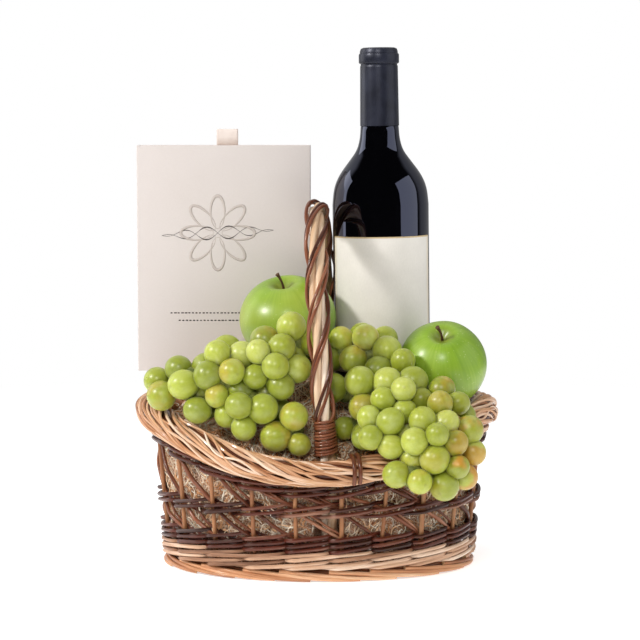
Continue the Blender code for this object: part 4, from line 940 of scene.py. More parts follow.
def glassMaterial():
    # Black and faintly rippled, with a cool gleam.
    return twoToned("wineGlass", ("040406", "08070B"), (16.0, 2.0, 0.4), (0.05, 0.002), Roughness=0.03,
                    IOR=1.60, Specular_IOR_Level=0.9, Specular_Tint=(0.62, 0.68, 1.0, 1.0))


def foilMaterial():
    # Satin foil with faint upright creases.
    material, tree, shader = startMaterial("charcoalFoil", Metallic=0.3, Specular_IOR_Level=0.5)
    place = objectPlace(tree)
    crease = spread(tree, place, 1.0, 3.0, 0.6, (420.0, 420.0, 18.0))
    mottle = spread(tree, place, 70.0, 3.0)
    coloured(tree, shader, ramp(tree, mottle, ((0.3, "1A1C28"), (0.7, "292C3C"))))
    roughened(tree, shader, mottle, 0.16, 0.28)
    bumped(tree, shader, crease, 0.22, 0.0004)
    return material


def paperMaterial():
    # Ivory paper: warmer at its edges, a thin pale gold line inside the top edge, fine fibres.
    material, tree, shader = startMaterial("ivoryPaper", Roughness=0.72, Specular_IOR_Level=0.3)
    sheet = attribute(tree, "sheet", "Vector")
    side = math2(tree, "ABSOLUTE", axisOf(tree, sheet, 0))
    fibre = spread(tree, objectPlace(tree), 900.0, 4.0, 0.6, (1.0, 1.0, 0.5))
    cloud = spread(tree, objectPlace(tree), 34.0, 2.0)
    paper = ramp(tree, weighted(tree, (fibre, 0.3), (cloud, 0.6)), ((0.3, "DED9D2"), (0.6, "EBE6DF")))
    tinted = blendColour(tree, ranged(tree, side, 0.88, 1.0, 0.0, 0.60), paper, paint("D6C4A2"))
    line = math2(tree, "GREATER_THAN", axisOf(tree, sheet, 1), 0.990)
    colour = blendColour(tree, line, tinted, paint("CDB68E"))
    coloured(tree, shader, colour)
    bumped(tree, shader, fibre, 0.12, 0.0002)
    return material


def makeBottle():
    # The foot is listed by radius first, then come the side, the softened shoulder and the mouth.
    profile = [(radius, height) for height, radius in bottle["glass"]]
    body = softened(profile[2:9], 3)
    outline = np.vstack([
        [(0.0, 0.0100), (0.012, 0.0085), (0.024, 0.0030), (0.0300, 0.0002), (0.0330, 0.0)],
        softened([profile[0], (0.0368, 0.0018), profile[1], (0.0379, 0.03)], 2), body,
        [profile[9], profile[10], (0.0, 0.3140)]])
    points, quads, ends = turnedSkin(outline, 96)
    basketPiece("bottleGlass", "bottle_glass", placed(points, bottlePlace),
                [quads, ends], [glassMaterial()])

    shell = [(radius, height) for height, radius in bottle["capsule"]]
    outline = np.vstack([[(0.0, 0.2606)], [(0.0139, 0.2602)], shell, [(0.0, 0.3204)]])
    points, quads, ends = turnedSkin(outline, 72)
    basketPiece("bottleCapsule", "bottle_capsule", placed(points, bottlePlace),
                [quads, ends], [foilMaterial()], None, 32.0)

    # Label: outer sheet then inner sheet, joined round the edge.
    columns, rows = 60, 14
    angle = np.radians(np.linspace(-bottle["labelHalfAngle"], bottle["labelHalfAngle"], columns)) - np.pi / 2
    height = np.linspace(bottle["labelLow"], bottle["labelHigh"], rows)[:, None]
    sheets, marks = [], []
    for reach in bottle["labelReach"]:
        sheets.append(stacked(reach * np.cos(angle), reach * np.sin(angle), height))
        marks.append(stacked(np.linspace(-1.0, 1.0, columns), np.linspace(0.0, 1.0, rows)[:, None], 0.0))
    outer = gridFaces(rows, columns, False)
    size = rows * columns
    edge = np.concatenate([
        np.arange(columns), np.arange(2, rows) * columns - 1,
        np.arange(size - 1, size - columns - 1, -1), np.arange(rows - 2, 0, -1) * columns])
    following = np.roll(edge, -1)
    border = stacked(edge, edge + size, following + size, following)
    points = placed(np.concatenate(sheets).reshape(-1, 3), bottlePlace)
    basketPiece("bottleLabel", "bottle_label", points,
                [outer, outer[:, ::-1] + size, border], [paperMaterial()],
                {"sheet": np.concatenate(marks).reshape(-1, 3)}, 40.0)


makeBottle()
print("bottle standing")


# The gift box

giftBox = {
    "right": -0.0065, "width": 0.1383, "front": 0.0480, "depth": 0.0300, "low": 0.1440,
    "tall": 0.1800, "wall": 0.0014, "corner": 0.0008, "edge": 0.0003,
    "ribbonX": -0.0731, "ribbonWidth": 0.0172, "ribbonRise": 0.0130, "ribbonGap": 0.00036,
    "ribbonThickness": 0.00025,
}
ornament = {
    "x": -0.0805, "z": 0.2545, "petals": 8, "petalMiddle": 0.0165, "petalHalf": 0.0130,
    "petalSide": 0.0056, "flourishHalf": 0.0445, "flourishSwing": 0.0052, "flourishClimb": 0.0022,
    "strokePitch": 0.00285, "strokeWidth": 0.00048, "strokeRun": (0.0012, 0.0022),
    "strokeRows": ((-0.1185, 0.1905, 26), (-0.1120, 0.1845, 22)),
}


def cardMaterial(name, light, dark):
    material, tree, shader = startMaterial(name, Roughness=0.58, Specular_IOR_Level=0.35)
    place = objectPlace(tree)
    fibre = spread(tree, place, 700.0, 4.0, 0.6)
    cloud = spread(tree, place, 14.0, 2.0)
    colour = ramp(tree, weighted(tree, (fibre, 0.35), (cloud, 0.6)), ((0.25, dark), (0.75, light)))
    coloured(tree, shader, colour)
    bumped(tree, shader, fibre, 0.10, 0.0002)
    return material


def ribbonMaterial():
    # Satin: fine threads across the ribbon.
    material, tree, shader = startMaterial(
        "satinRibbon", Roughness=0.38, Sheen_Weight=0.3, Sheen_Roughness=0.4, Specular_IOR_Level=0.5)
    place = objectPlace(tree)
    thread = addNode(tree, "TexWave", {"Vector": place, "Scale": 900.0, "Distortion": 0.6},
                     bands_direction="Z").outputs["Fac"]
    soft = spread(tree, place, 120.0, 2.0)
    colour = ramp(tree, soft, ((0.25, "E8D9D0"), (0.75, "F4E8E0")))
    coloured(tree, shader, colour)
    bumped(tree, shader, thread, 0.15, 0.0001)
    return material


def roundedOutline(left, right, front, back, radius, steps=5):
    # Corner arcs joined by straight sides, counted anticlockwise seen from above.
    turn = np.linspace(0.0, np.pi / 2, steps)
    corners = ((right - radius, back - radius, 0.0), (left + radius, back - radius, np.pi / 2),
               (left + radius, front + radius, np.pi), (right - radius, front + radius, 1.5 * np.pi))
    return np.concatenate([
        stacked(x + radius * np.cos(turn + start), y + radius * np.sin(turn + start))
        for x, y, start in corners])


def linePiece(name, paths, width, material):
    # Thin printed lines that lie on the front of the box.
    rodPiece(name, "box_sleeve", paths, (0.0, -1.0, 0.0), width, 6, [0.5] * len(paths),
             [material], 0.12, 0.0)


def makeSleeve():
    # A sleeve open at both ends: the outline is followed up the outside and down the inside.
    left = giftBox["right"] - giftBox["width"]
    back = giftBox["front"] + giftBox["depth"]
    low, high = giftBox["low"], giftBox["low"] + giftBox["tall"]
    edge, thick = giftBox["edge"], giftBox["wall"]
    rings = []
    for inset, height in ((0.0, low + edge), (0.0, high - edge), (edge, high),
                          (thick - 0.0002, high), (thick, high - 0.0002), (thick, low + 0.0002),
                          (thick - 0.0002, low), (edge, low)):
        outline = roundedOutline(left + inset, giftBox["right"] - inset, giftBox["front"] + inset,
                                 back - inset, max(giftBox["corner"] - inset, edge))
        rings.append(np.column_stack([outline, np.full(len(outline), height)]))
    rings = np.array(rings)
    rows, columns = rings.shape[:2]
    faces = gridFaces(rows + 1, columns, True) % (rows * columns)
    basketPiece("giftSleeve", "box_sleeve", rings.reshape(-1, 3), [faces],
                [cardMaterial("giftCard", "DDD5D2", "D5CCC8")], None, 38.0)
    finishNode("box_tray", cardMaterial("trayCard", "E2D7D0", "D2C5BC"))


def makeOrnament():
    # A plain ornament in the box's own colours: a faint rosette, a thin dark flourish over it and
    # two rows of short strokes below.
    middleX, middleZ = ornament["x"], ornament["z"]
    face = giftBox["front"] - 0.00004
    faint = cardMaterial("faintPrint", "C8BDB7", "C2B7B1")
    dark = cardMaterial("darkPrint", "4A4340", "37312E")
    share = np.linspace(0.0, 1.0, 49)
    petal = np.arange(ornament["petals"])[:, None] * 2 * np.pi / ornament["petals"]
    along = ornament["petalMiddle"] - ornament["petalHalf"] * np.cos(2 * np.pi * share)
    aside = ornament["petalSide"] * np.sin(2 * np.pi * share)
    x = middleX + along * np.cos(petal) - aside * np.sin(petal)
    z = middleZ + along * np.sin(petal) + aside * np.cos(petal)
    linePiece("faintRosette", stacked(x, face, z),
              0.0002 + 0.0010 * np.sin(np.pi * share) ** 2, faint)

    share = np.linspace(-1.0, 1.0, 121)
    swell = (1.0 - share ** 2) * np.array([[1.0], [-1.0]])
    z = middleZ + ornament["flourishSwing"] * np.sin(2.5 * np.pi * share) * swell
    z = z + ornament["flourishClimb"] * share
    x = middleX + ornament["flourishHalf"] * share
    linePiece("darkFlourish", stacked(x, face - 0.00006, z),
              0.00012 + 0.00030 * (1.0 - share ** 2) * np.sin(2.5 * np.pi * share) ** 2, dark)

    draw = np.random.default_rng(8)
    starts = np.concatenate([x + ornament["strokePitch"] * np.arange(count)
                             for x, _, count in ornament["strokeRows"]])
    level = np.concatenate([np.full(count, z) for _, z, count in ornament["strokeRows"]])
    run = draw.uniform(*ornament["strokeRun"], len(starts))[:, None] * np.linspace(0.0, 1.0, 3)
    strokes = stacked(starts[:, None] + run, face, level[:, None])
    linePiece("shortStrokes", strokes, ornament["strokeWidth"], dark)


def makeRibbon():
    # One strip folded over, its two layers close together.
    half = giftBox["ribbonWidth"] / 2
    deep = giftBox["front"] + giftBox["depth"] / 2
    lowest = giftBox["low"] + giftBox["tall"] - 0.0005
    top = lowest + 0.0005 + giftBox["ribbonRise"]
    turn = np.linspace(0.0, np.pi, 9)
    gap = giftBox["ribbonGap"]
    profile = np.vstack([
        [(gap, lowest), (gap, (lowest + top) / 2)],
        np.column_stack([gap * np.cos(turn), top - 0.0005 + gap * np.sin(turn)]),
        [(-gap, (lowest + top) / 2), (-gap, lowest)]])
    across = np.linspace(-half, half, 13)
    strip = stacked(giftBox["ribbonX"] + across, deep + profile[:, :1], profile[:, 1:])
    ribbon = basketPiece("ribbonTab", "box_ribbon", strip.reshape(-1, 3),
                         [gridFaces(len(profile), len(across), False)], [ribbonMaterial()], None, 0.0)
    solid = ribbon.modifiers.new("thickness", "SOLIDIFY")
    solid.thickness = giftBox["ribbonThickness"]
    solid.offset = 0.0


makeSleeve()
makeOrnament()
makeRibbon()
print("gift box set")


# The apples

appleForm = {
    "tall": {"apple_left": 0.90, "apple_right": 1.00}, "taper": 0.05, "hollow": 0.23,
    "hollowSpread": 0.21, "footHollow": 0.20, "footSpread": 0.38, "stemLength": 0.0140,
    "stemRadius": 0.0012,
}


def appleMaterial():
    # Green skin: paler flecks, soft streaks towards the stem, and a brown tint in the hollow.
    material, tree, shader = startMaterial(
        "appleSkin", Roughness=0.40, Specular_IOR_Level=0.40, Coat_Weight=0.40, Coat_Roughness=0.25,
        Subsurface_Weight=0.15, Subsurface_Radius=(0.010, 0.014, 0.004), Subsurface_Scale=0.3)
    place = objectPlace(tree)
    skin = attribute(tree, "skin", "Vector")
    streak = spread(tree, skin, 1.0, 3.0, 0.55, (15.0, 15.0, 2.0))
    cloud = spread(tree, place, 26.0, 2.0)
    colour = ramp(tree, weighted(tree, (streak, 0.30), (cloud, 0.70)),
                  ((0.30, "6E941A"), (0.5, "86AA26"), (0.72, "A5C044")))
    flecks = addNode(tree, "TexVoronoi", {"Vector": place, "Scale": 300.0}).outputs["Distance"]
    colour = blendColour(tree, ranged(tree, flecks, 0.08, 0.20, 0.30, 0.0), colour, paint("D2DE98"))
    blush = ranged(tree, spread(tree, place, 11.0, 1.0), 0.52, 0.72, 0.0, 0.45)
    colour = blendColour(tree, blush, colour, paint("BFB85A"))
    hollow = ranged(tree, axisOf(tree, skin, 2), 0.01, 0.12, 0.8, 0.0)
    colour = blendColour(tree, hollow, colour, paint("7E8430"))
    coloured(tree, shader, colour)
    bumped(tree, shader, cloud, 0.04, 0.002)
    return material


def makeApples():
    skin = appleMaterial()
    bark = twoToned("appleStem", ("2C1A0C", "6E4A26"), (1.0, 3.0, 0.6, (200.0, 1600.0, 1600.0)),
                    (0.5, 0.0003), "grain", Roughness=0.7)
    for name, (centre, radius, tilt, lean) in appleList.items():
        # Half section: reach sin a (1 + taper cos a), height cos a less a hollow at each end.
        turn = np.pi * (1.0 - np.linspace(0.0, 1.0, 81))
        turn = turn - 0.35 * np.sin(turn) * (turn < 0.5 * np.pi) * (0.5 * np.pi - turn)
        reach = np.sin(turn) * (1.0 + appleForm["taper"] * np.cos(turn))
        height = appleForm["tall"][name] * np.cos(turn)
        height = height - appleForm["hollow"] * np.exp(-(turn / appleForm["hollowSpread"]) ** 2)
        height = height + appleForm["footHollow"] * np.exp(-((np.pi - turn) / appleForm["footSpread"]) ** 2)
        profile = np.column_stack([radius * reach, radius * height])
        profile[0, 0] = profile[-1, 0] = 0.0

        def lobes(rings, around):
            # Five soft ribs, strongest at the foot and at the shoulder.
            up = rings[:, 1:] / radius
            strength = 0.003 + 0.012 * np.clip(np.abs(up) - 0.25, 0.0, 1.0)
            return 1.0 + strength * np.cos(5 * around + 0.7)

        points, quads, ends = turnedSkin(profile, 96, lobes)
        down = np.concatenate([np.repeat(turn[1:-1], 96), turn[[0, -1]]]) / np.pi
        side = np.arctan2(points[:, 1], points[:, 0])
        field = np.column_stack([np.cos(side), np.sin(side), down])
        place = Matrix.Translation(Vector(centre)) @ Matrix.Rotation(math.radians(lean), 4, "Y")
        place = place @ Matrix.Rotation(math.radians(tilt), 4, "X")
        basketPiece(name.replace("apple_", "apple"), name, placed(points, place),
                    [quads, ends], [skin], {"skin": field}, 0.0)
        share = np.linspace(0.0, 1.0, 16)
        rise = profile[-1, 1] + 0.0006 + appleForm["stemLength"] * share
        path = placed(stacked(-0.0035 * share ** 2, -0.001 * share, rise), place)
        thick = appleForm["stemRadius"] * (1.0 - 0.28 * np.sin(np.pi * share) + 0.45 * share ** 6)
        rodPiece(name.replace("apple_", "stem"), name + "_stem", path[None],
                 (0.0, -1.0, 0.2), thick[None], 10, (0.5,), [bark])


makeApples()
print("apples polished")


# The grapes

grapes = {
    "small": 0.0088, "large": 0.0118, "long": 0.10, "clearance": 0.0008, "squeeze": 0.99,
    "steps": 260, "coreShare": 1.10, "crowding": 0.62, "blocked": 0.0004, "hidden": 0.30,
    "around": 22, "rows": 15, "stalkRadius": 0.0011, "middleSize": 0.0103,
}
# How far the grapes keep from their neighbours; for the apples as a share of the radius.
margins = {"apple": 1.03, "bottle": 0.0035, "handle": 0.0095, "wool": 0.0015, "rim": 0.0008,
           "wallShare": 0.75, "lashing": 0.0006, "boxFoot": 0.012, "boxRight": 0.005}
# Of each bunch: its seed, how many grapes are tried, and its round lobes as x, y, z and radius.
bunches = {
    "grapes_left": (13, 52, (
        (-0.119, -0.042, 0.141, 0.018), (-0.096, -0.046, 0.145, 0.025),
        (-0.067, -0.050, 0.151, 0.031), (-0.036, -0.050, 0.158, 0.031),
        (-0.017, -0.046, 0.178, 0.022), (-0.052, -0.062, 0.129, 0.026),
        (-0.021, -0.066, 0.114, 0.025), (-0.086, -0.054, 0.129, 0.022))),
    "grapes_right": (29, 72, (
        (0.038, -0.026, 0.165, 0.026), (0.019, -0.027, 0.165, 0.021),
        (0.020, -0.040, 0.140, 0.021), (0.032, -0.062, 0.114, 0.021),
        (0.057, -0.042, 0.154, 0.026), (0.034, -0.062, 0.138, 0.023),
        (0.060, -0.069, 0.134, 0.028), (0.088, -0.073, 0.126, 0.027),
        (0.048, -0.090, 0.114, 0.024), (0.083, -0.097, 0.107, 0.028),
        (0.104, -0.088, 0.108, 0.022), (0.068, -0.107, 0.086, 0.021),
        (0.093, -0.101, 0.087, 0.022))),
}


def pushFromChain(points, sizes, chain, reach):
    # What moves each grape out of a thick line through the chain's points.
    offset = points[:, None, :] - chain[None, :, :]
    distance = np.linalg.norm(offset, axis=2)
    nearest = distance.argmin(axis=1)
    rows = np.arange(len(points))
    short = np.clip(reach + sizes - distance[rows, nearest], 0.0, None)
    return offset[rows, nearest] / distance[rows, nearest][:, None] * short[:, None]


def pushFromBox(points, need):
    # Towards the front, for the grapes that reach behind the box's face.
    behind = (points[:, 2] > giftBox["low"] - margins["boxFoot"]) & (points[:, 0] < margins["boxRight"])
    short = np.where(behind, np.clip(points[:, 1] + need - giftBox["front"], 0.0, None), 0.0)
    return np.column_stack([0.0 * short, -short, 0.0 * short])


def pushFromWool(points, need):
    # Square to the mound's slope, for the grapes over it.
    x, y, z = points.T
    step = 0.001
    surface = woolHeight(x, y)
    slopeX = (woolHeight(x + step, y) - surface) / step
    slopeY = (woolHeight(x, y + step) - surface) / step
    normal = unit(np.column_stack([-slopeX, -slopeY, np.ones_like(x)]))
    inside = np.hypot(x / moundLength, y / moundDepth) < 1.0
    gap = (z - surface - margins["wool"]) * normal[:, 2]
    return normal * np.where(inside, np.clip(need - gap, 0.0, None), 0.0)[:, None]


def pushFromRim(points, need):
    # Keeps clear of the rim as a rounded ring, and of the wall below it as a sloping face.
    centre, normal = rimFrame(np.arctan2(points[:, 1] / wall["rimDepth"], points[:, 0] / wall["rimLength"]))
    offset = points - centre
    outward = offset[:, 0] * normal[:, 0] + offset[:, 1] * normal[:, 1]
    upward = offset[:, 2]
    distance = np.hypot(outward, upward)
    reach = wall["rimHalfWidth"] * wall["rimSwell"] + margins["rim"]
    short = np.clip(reach + need - distance, 0.0, None)
    pushOut = outward / distance * short
    outside = (outward > 0.0) & (upward < 0.0)
    lean = np.where(outside, np.clip(reach * margins["wallShare"] + need - outward, 0.0, None), 0.0)
    pushOut = np.where(outside, np.maximum(pushOut, lean), pushOut)
    return np.column_stack([normal[:, 0] * pushOut, normal[:, 1] * pushOut, upward / distance * short])


lashings = np.concatenate([lashingPath(x, 17)[0] for x in lashing["places"]])


def clearancePushes(points, sizes):
    # For every grape, the moves that would take it out of each neighbouring piece.
    need = sizes + grapes["clearance"]
    pushes = [pushFromChain(points, need, np.array([centre]), radius * margins["apple"])
              for centre, radius, _, _ in appleList.values()]
    away = points[:, :2] - np.array(bottle["base"][:2])
    distance = np.linalg.norm(away, axis=1)
    short = np.clip(bottle["belly"] + margins["bottle"] + need - distance, 0.0, None)
    pushes.append(np.column_stack([away / distance[:, None] * short[:, None], 0.0 * short]))
    pushes.append(pushFromChain(points, need, track[::5], margins["handle"]))
    pushes.append(pushFromBox(points, need))
    pushes.append(pushFromWool(points, need))
    pushes.append(pushFromRim(points, need))
    pushes.append(pushFromChain(points, need, lashings, lashing["radius"] + margins["lashing"]))
    return pushes


def spacing(points):
    # From every grape to every other one, and how far that is; 1 from a grape to itself.
    offset = points[:, None, :] - points[None, :, :]
    return offset, np.linalg.norm(offset, axis=2) + np.eye(len(points))


def packBunch(seed, count, lobeList, others):
    # Scatters grapes over the outside of the lobes, then lets them push each other apart while
    # they stay on that outside and clear of the pieces round them. Those without room go.
    draw = np.random.default_rng(seed)
    lobes = np.array(lobeList)
    middles, reaches = lobes[:, :3], lobes[:, 3]
    sizes = draw.uniform(grapes["small"], grapes["large"], count)
    chosen = draw.choice(len(lobes), count, p=reaches ** 2 / np.sum(reaches ** 2))
    heading = unit(draw.normal(size=(count, 3)) + np.array((0.0, -0.9, 0.1)))
    points = middles[chosen] + heading * (reaches[chosen] - sizes)[:, None]
    rows = np.arange(count)
    for _ in range(grapes["steps"]):
        offset, distance = spacing(points)
        wanted = (sizes[:, None] + sizes[None, :]) * grapes["squeeze"]
        short = np.clip(wanted - distance, 0.0, None) * (1.0 - np.eye(count))
        points = points + 0.35 * (offset / distance[:, :, None] * short[:, :, None]).sum(axis=1)
        fromLobe = points[:, None, :] - middles[None, :, :]
        radial = np.linalg.norm(fromLobe, axis=2) + 1e-9
        depth = radial - (reaches[None, :] - sizes[:, None])
        nearest = depth.argmin(axis=1)
        inward = fromLobe[rows, nearest] / radial[rows, nearest][:, None]
        points = points - 0.5 * inward * depth[rows, nearest][:, None]
        for push in clearancePushes(points, sizes * (1.0 + grapes["long"])):
            points = points + push
        if len(others):
            # The other bunch is a row of balls too, all as thick as its largest.
            points = points + pushFromChain(points, sizes, others[:, :3], float(others[:, 3].max()))
    blocked = sum(np.linalg.norm(push, axis=1)
                  for push in clearancePushes(points, sizes * (1.0 + grapes["long"])))
    keep = blocked < grapes["blocked"]
    crowded = spacing(points)[1] < grapes["crowding"] * (sizes[:, None] + sizes[None, :])
    for number in range(count):
        keep[number] = keep[number] and not (crowded[number, :number] & keep[:number]).any()
    fromLobe = points[:, None, :] - middles[None, :, :]
    radial = np.linalg.norm(fromLobe, axis=2)
    nearest = (radial - reaches[None, :]).argmin(axis=1)
    axes = fromLobe[rows, nearest] / radial[rows, nearest][:, None]
    keep &= axes @ unit(np.array((0.0, 1.0, -0.8))) < grapes["hidden"]
    stretch = 1.0 + draw.uniform(0.0, grapes["long"], count)
    return np.column_stack([points, sizes, axes, stretch, middles[nearest]])[keep]


def grapeMaterial():
    # Clear yellow-green flesh under a pale bloom: tone picks the colour, veins run pole to pole,
    # and ripe spots turn amber.
    material, tree, shader = startMaterial(
        "grapeSkin", Specular_IOR_Level=0.45, Subsurface_Weight=0.9, Subsurface_Scale=0.010,
        Subsurface_Radius=(1.0, 1.0, 0.30), Coat_Weight=0.44, Coat_Roughness=0.28,
        Sheen_Weight=0.14, Sheen_Roughness=0.40, Sheen_Tint=(0.95, 1.0, 0.80, 1.0))
    berry = attribute(tree, "berry", "Vector")
    vein = spread(tree, berry, 5.0, 3.0, 0.6, (1.0, 1.0, 0.35))
    bloom = spread(tree, objectPlace(tree), 95.0, 3.0, 0.6)
    patch = spread(tree, objectPlace(tree), 60.0, 2.0, 0.5)
    value = weighted(tree, (attribute(tree, "tone"), 0.72), (vein, 0.28))
    colour = ramp(tree, value, ((0.12, "74821A"), (0.42, "959F2C"), (0.66, "AEB844"), (0.95, "CED27C")))
    ripe = math2(tree, "MULTIPLY", attribute(tree, "ripe"), ranged(tree, patch, 0.40, 0.62, 0.05, 0.9), True)
    colour = blendColour(tree, ripe, colour, paint("C0882A"))
    tip = ranged(tree, axisOf(tree, berry, 2), 0.982, 0.992, 0.0, 0.18)
    colour = blendColour(tree, tip, colour, paint("6B5A2A"))
    colour = blendColour(tree, ranged(tree, bloom, 0.44, 0.75, 0.0, 0.15), colour, paint("DCE3BC"))
    coloured(tree, shader, colour)
    roughened(tree, shader, bloom, 0.34, 0.26)
    return material


def ballSkin(centres, radii, axes, around, rows):
    # Balls: ring radius sin v, height cos v along each one's own axis, closed by small polar caps.
    count = len(centres)
    axes = unit(axes)
    helper = np.where(np.abs(axes[:, 2:]) < 0.9, np.array((0.0, 0.0, 1.0)), np.array((1.0, 0.0, 0.0)))
    side = unit(np.cross(helper, axes))
    other = np.cross(axes, side)
    down = np.linspace(0.06, np.pi - 0.06, rows)
    turn = 2 * np.pi * np.arange(around) / around
    ringX = (np.sin(down)[:, None] * np.cos(turn)).ravel()
    ringY = (np.sin(down)[:, None] * np.sin(turn)).ravel()
    ringZ = (np.cos(down)[:, None] * np.ones(around)).ravel()
    points = (centres[:, None, :] + radii[:, 0, None, None] * ringX[None, :, None] * side[:, None, :]
              + radii[:, 1, None, None] * ringY[None, :, None] * other[:, None, :]
              + radii[:, 2, None, None] * ringZ[None, :, None] * axes[:, None, :])
    size = rows * around
    quads = gridFaces(rows, around, True)[:, ::-1]
    quads = (quads[None] + (np.arange(count) * size)[:, None, None]).reshape(-1, 4)
    caps = np.stack([np.arange(around), size - 1 - np.arange(around)])
    caps = (caps[None] + (np.arange(count) * size)[:, None, None]).reshape(-1, around)
    return points.reshape(-1, 3), quads, caps, np.tile(stacked(ringX, ringY, ringZ), (count, 1))


def makeHearts(name, lobes, material):
    # A ball in the middle of each lobe joins its stalks. It shrinks until it clears its neighbours.
    least = 0.002
    inner = np.maximum(lobes[:, 3] - grapes["coreShare"] * grapes["middleSize"], least)
    for number, spot in enumerate(lobes[:, :3]):
        for _ in range(40):
            pushes = clearancePushes(spot[None], inner[number:number + 1])
            if max(np.linalg.norm(push) for push in pushes) < 0.0001:
                break
            inner[number] -= 0.0005
    inner = np.maximum(inner, least)
    points, quads, caps, _ = ballSkin(lobes[:, :3], np.column_stack([inner] * 3),
                                      np.tile((0.1, 0.2, 1.0), (len(lobes), 1)), 14, 9)
    basketPiece(name.replace("grapes_", "hearts"), name, points, [quads, caps], [material],
                None, 0.0)


def makeBunches():
    skin = grapeMaterial()
    stalk = twoToned("grapeStalk", ("4C5A1C", "8B8F45"), (260.0, 3.0), (0.3, 0.0003), Roughness=0.6)
    others = np.zeros((0, 11))
    for name, (seed, count, lobeList) in bunches.items():
        packed = packBunch(seed, count, lobeList, others[:, :4])
        centres, sizes, axes, stretch = packed[:, :3], packed[:, 3], packed[:, 4:7], packed[:, 7]
        draw = np.random.default_rng(seed + 100)
        radii = np.column_stack([sizes, sizes, sizes * stretch])
        tip = unit(axes + 0.35 * draw.normal(size=axes.shape))
        points, quads, caps, local = ballSkin(centres, radii, tip, grapes["around"], grapes["rows"])
        each = grapes["around"] * grapes["rows"]
        tone = draw.uniform(0.2, 0.9, len(packed))
        sunny = smoothStep(0.070, 0.115, centres[:, 0]) * 0.9 + smoothStep(0.118, 0.09, centres[:, 2]) * 0.25
        ripe = sunny * draw.uniform(0.0, 1.6, len(packed)) + 0.35 * (draw.uniform(size=len(packed)) > 0.86)
        ripe = np.clip(ripe, 0.0, 1.0)
        berry = local + 3.7 * np.repeat(np.arange(len(packed)), each)[:, None] * np.array((1.0, 1.0, 0.0))
        basketPiece(name.replace("grapes_", "grapes"), name, points, [quads, caps], [skin],
                    {"berry": berry, "tone": np.repeat(tone, each), "ripe": np.repeat(ripe, each)}, 0.0)
        # Stalks run from each lobe's middle to the grapes round it.
        share = np.linspace(0.0, 1.0, 7)[None, :, None]
        middle = packed[:, 8:11]
        foot = centres - tip * (sizes * stretch * 0.9)[:, None]
        sag = np.array((0.0, 0.0, 0.004)) * np.sin(np.pi * share)
        paths = middle[:, None, :] * (1.0 - share) + foot[:, None, :] * share + sag
        thick = grapes["stalkRadius"] * (1.0 - 0.3 * np.sin(np.pi * share[..., 0])) + 0.0 * sizes[:, None]
        rodPiece(name.replace("grapes_", "stalks"), name, paths, (0.31, 0.22, 0.92), thick, 6,
                 draw.uniform(size=len(packed)), [stalk])
        makeHearts(name, np.array(lobeList), stalk)
        others = np.vstack([others, packed])


makeBunches()
print("grapes hung")

# The basket's floor is bare fibre board.
finishNode("basket_floor", twoToned("fibreBoard", ("8A6440", "B58A5C"),
                                    (420.0, 4.0, 0.6, (0.3, 1.0, 1.0)), (0.3, 0.0004), Roughness=0.75))


# Floor and lights

studio = {"floorRadius": 1.15, "floorGlow": 0.55, "fill": 0.32, "frontFill": 0.66}
warmWhite, white = (1.0, 0.985, 0.965), (1.0, 1.0, 1.0)
# Of each light: its place, what it faces, its size, power and colour, and whether the black glass
# goes without it. So the bottle mirrors only the boxes at its sides.
lights = {
    "keyLight": ((-1.56, -0.78, 1.26), (0.0, 0.0, 0.17), (0.30, 0.30), 28.0, warmWhite, True),
    "frontLight": ((-0.17, -1.62, 1.12), (0.0, 0.0, 0.14), (0.30, 0.30), 10.0, warmWhite, True),
    "leftBox": ((-1.02, 0.42, 0.55), (0.0, 0.02, 0.22), (0.7, 0.9), 3.0, white, False),
    "rightBox": ((1.14, -0.32, 0.62), (0.05, 0.03, 0.25), (1.15, 1.15), 4.6, white, False),
    "topBox": ((0.0, 0.25, 1.35), (0.0, 0.0, 0.15), (1.8, 1.5), 4.5, white, True),
}


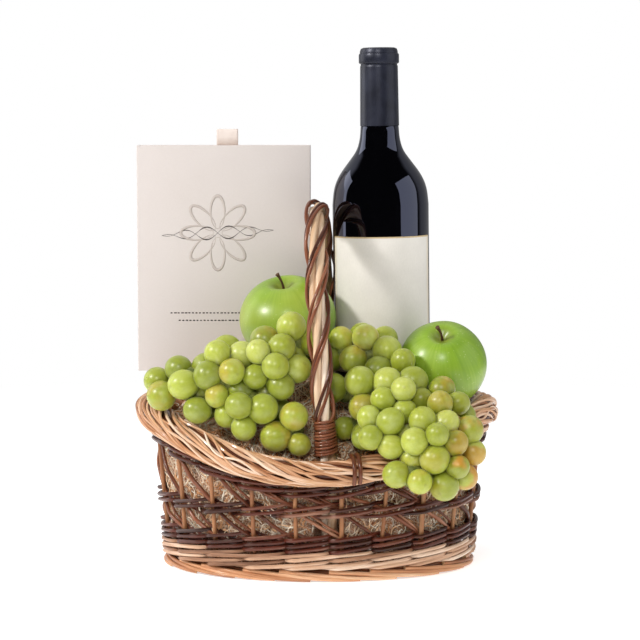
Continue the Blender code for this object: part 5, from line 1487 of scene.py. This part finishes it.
def makeFloor():
    # A round pale floor. Towards its edge it fades into the light of the room round it.
    around, rows = 96, 40
    reach = studio["floorRadius"] * np.linspace(0.0, 1.0, rows + 1)[1:, None]
    turn = 2 * np.pi * np.arange(around) / around
    rings = stacked(reach * np.cos(turn), reach * np.sin(turn), 0.0)
    points = np.vstack([rings.reshape(-1, 3), (0.0, 0.0, 0.0)])
    ring = np.arange(around)
    hub = stacked(rows * around, ring, (ring + 1) % around)
    material, tree, shader = startMaterial("paleFloor", Roughness=0.9, Specular_IOR_Level=0.1)
    away = addNode(tree, "VectorMath", {0: objectPlace(tree)}, operation="LENGTH").outputs["Value"]
    fade = ranged(tree, away, 0.26, 1.0, 0.0, 1.0)
    colour = blendColour(tree, fade, (0.93, 0.93, 0.925, 1.0), (0.0, 0.0, 0.0, 1.0))
    coloured(tree, shader, colour)
    glow = blendColour(tree, fade, (*[studio["floorGlow"]] * 3, 1.0), (1.0, 1.0, 1.0, 1.0))
    tree.links.new(glow, shader.inputs["Emission Color"])
    shader.inputs["Emission Strength"].default_value = 1.0
    floor = makePiece("floor", points, [gridFaces(rows, around, True)[:, ::-1], hub], [material], None, 0.0)
    if floor.data.polygons[0].normal.z < 0.0:
        floor.data.flip_normals()


def lightRoom():
    spared = bpy.data.collections.new("spared")
    spared.objects.link(bpy.data.objects["bottleGlass"])
    spared.collection_objects[0].light_linking.link_state = "EXCLUDE"
    for name, (place, target, size, power, colour, sparesGlass) in lights.items():
        data = bpy.data.lights.new(name, "AREA")
        data.shape = "RECTANGLE"
        data.size, data.size_y = size
        data.energy = power
        data.color = colour
        light = bpy.data.objects.new(name, data)
        light.location = place
        light.rotation_euler = (Vector(target) - Vector(place)).to_track_quat("-Z", "Y").to_euler()
        bpy.context.scene.collection.objects.link(light)
        if sparesGlass:
            light.light_linking.receiver_collection = spared


def makeRoom():
    world = bpy.data.worlds.new("room")
    world.use_nodes = True
    tree = world.node_tree
    tree.nodes.clear()
    # The room is white where the camera sees it. In reflections its front half is dark, so that
    # the black bottle stays black, and its back half is brighter on the left.
    direction = addNode(tree, "SeparateXYZ", {0: addNode(tree, "TexCoord").outputs["Generated"]})
    back = ranged(tree, direction.outputs[1], 0.15, 0.40, 0.02, 0.85)
    left = ranged(tree, direction.outputs[0], -0.3, 0.3, 0.55, 0.35)
    mirrored = math2(tree, "MULTIPLY", back, left)
    soft = ranged(tree, direction.outputs[1], -0.6, 0.5, studio["fill"] * studio["frontFill"], studio["fill"])
    path = addNode(tree, "LightPath")
    seen = addNode(tree, "Mix", {0: path.outputs["Is Glossy Ray"], 2: soft, 3: mirrored})
    shown = addNode(tree, "Mix", {0: path.outputs["Is Camera Ray"], 2: seen.outputs[0], 3: 1.0})
    room = addNode(tree, "Background", {"Color": (1.0, 1.0, 1.0, 1.0), "Strength": shown.outputs[0]})
    output = tree.nodes.new("ShaderNodeOutputWorld")
    tree.links.new(room.outputs[0], output.inputs["Surface"])
    bpy.context.scene.world = world
    bpy.context.scene.view_settings.view_transform = "Standard"


makeFloor()
lightRoom()
makeRoom()
print("room lit")
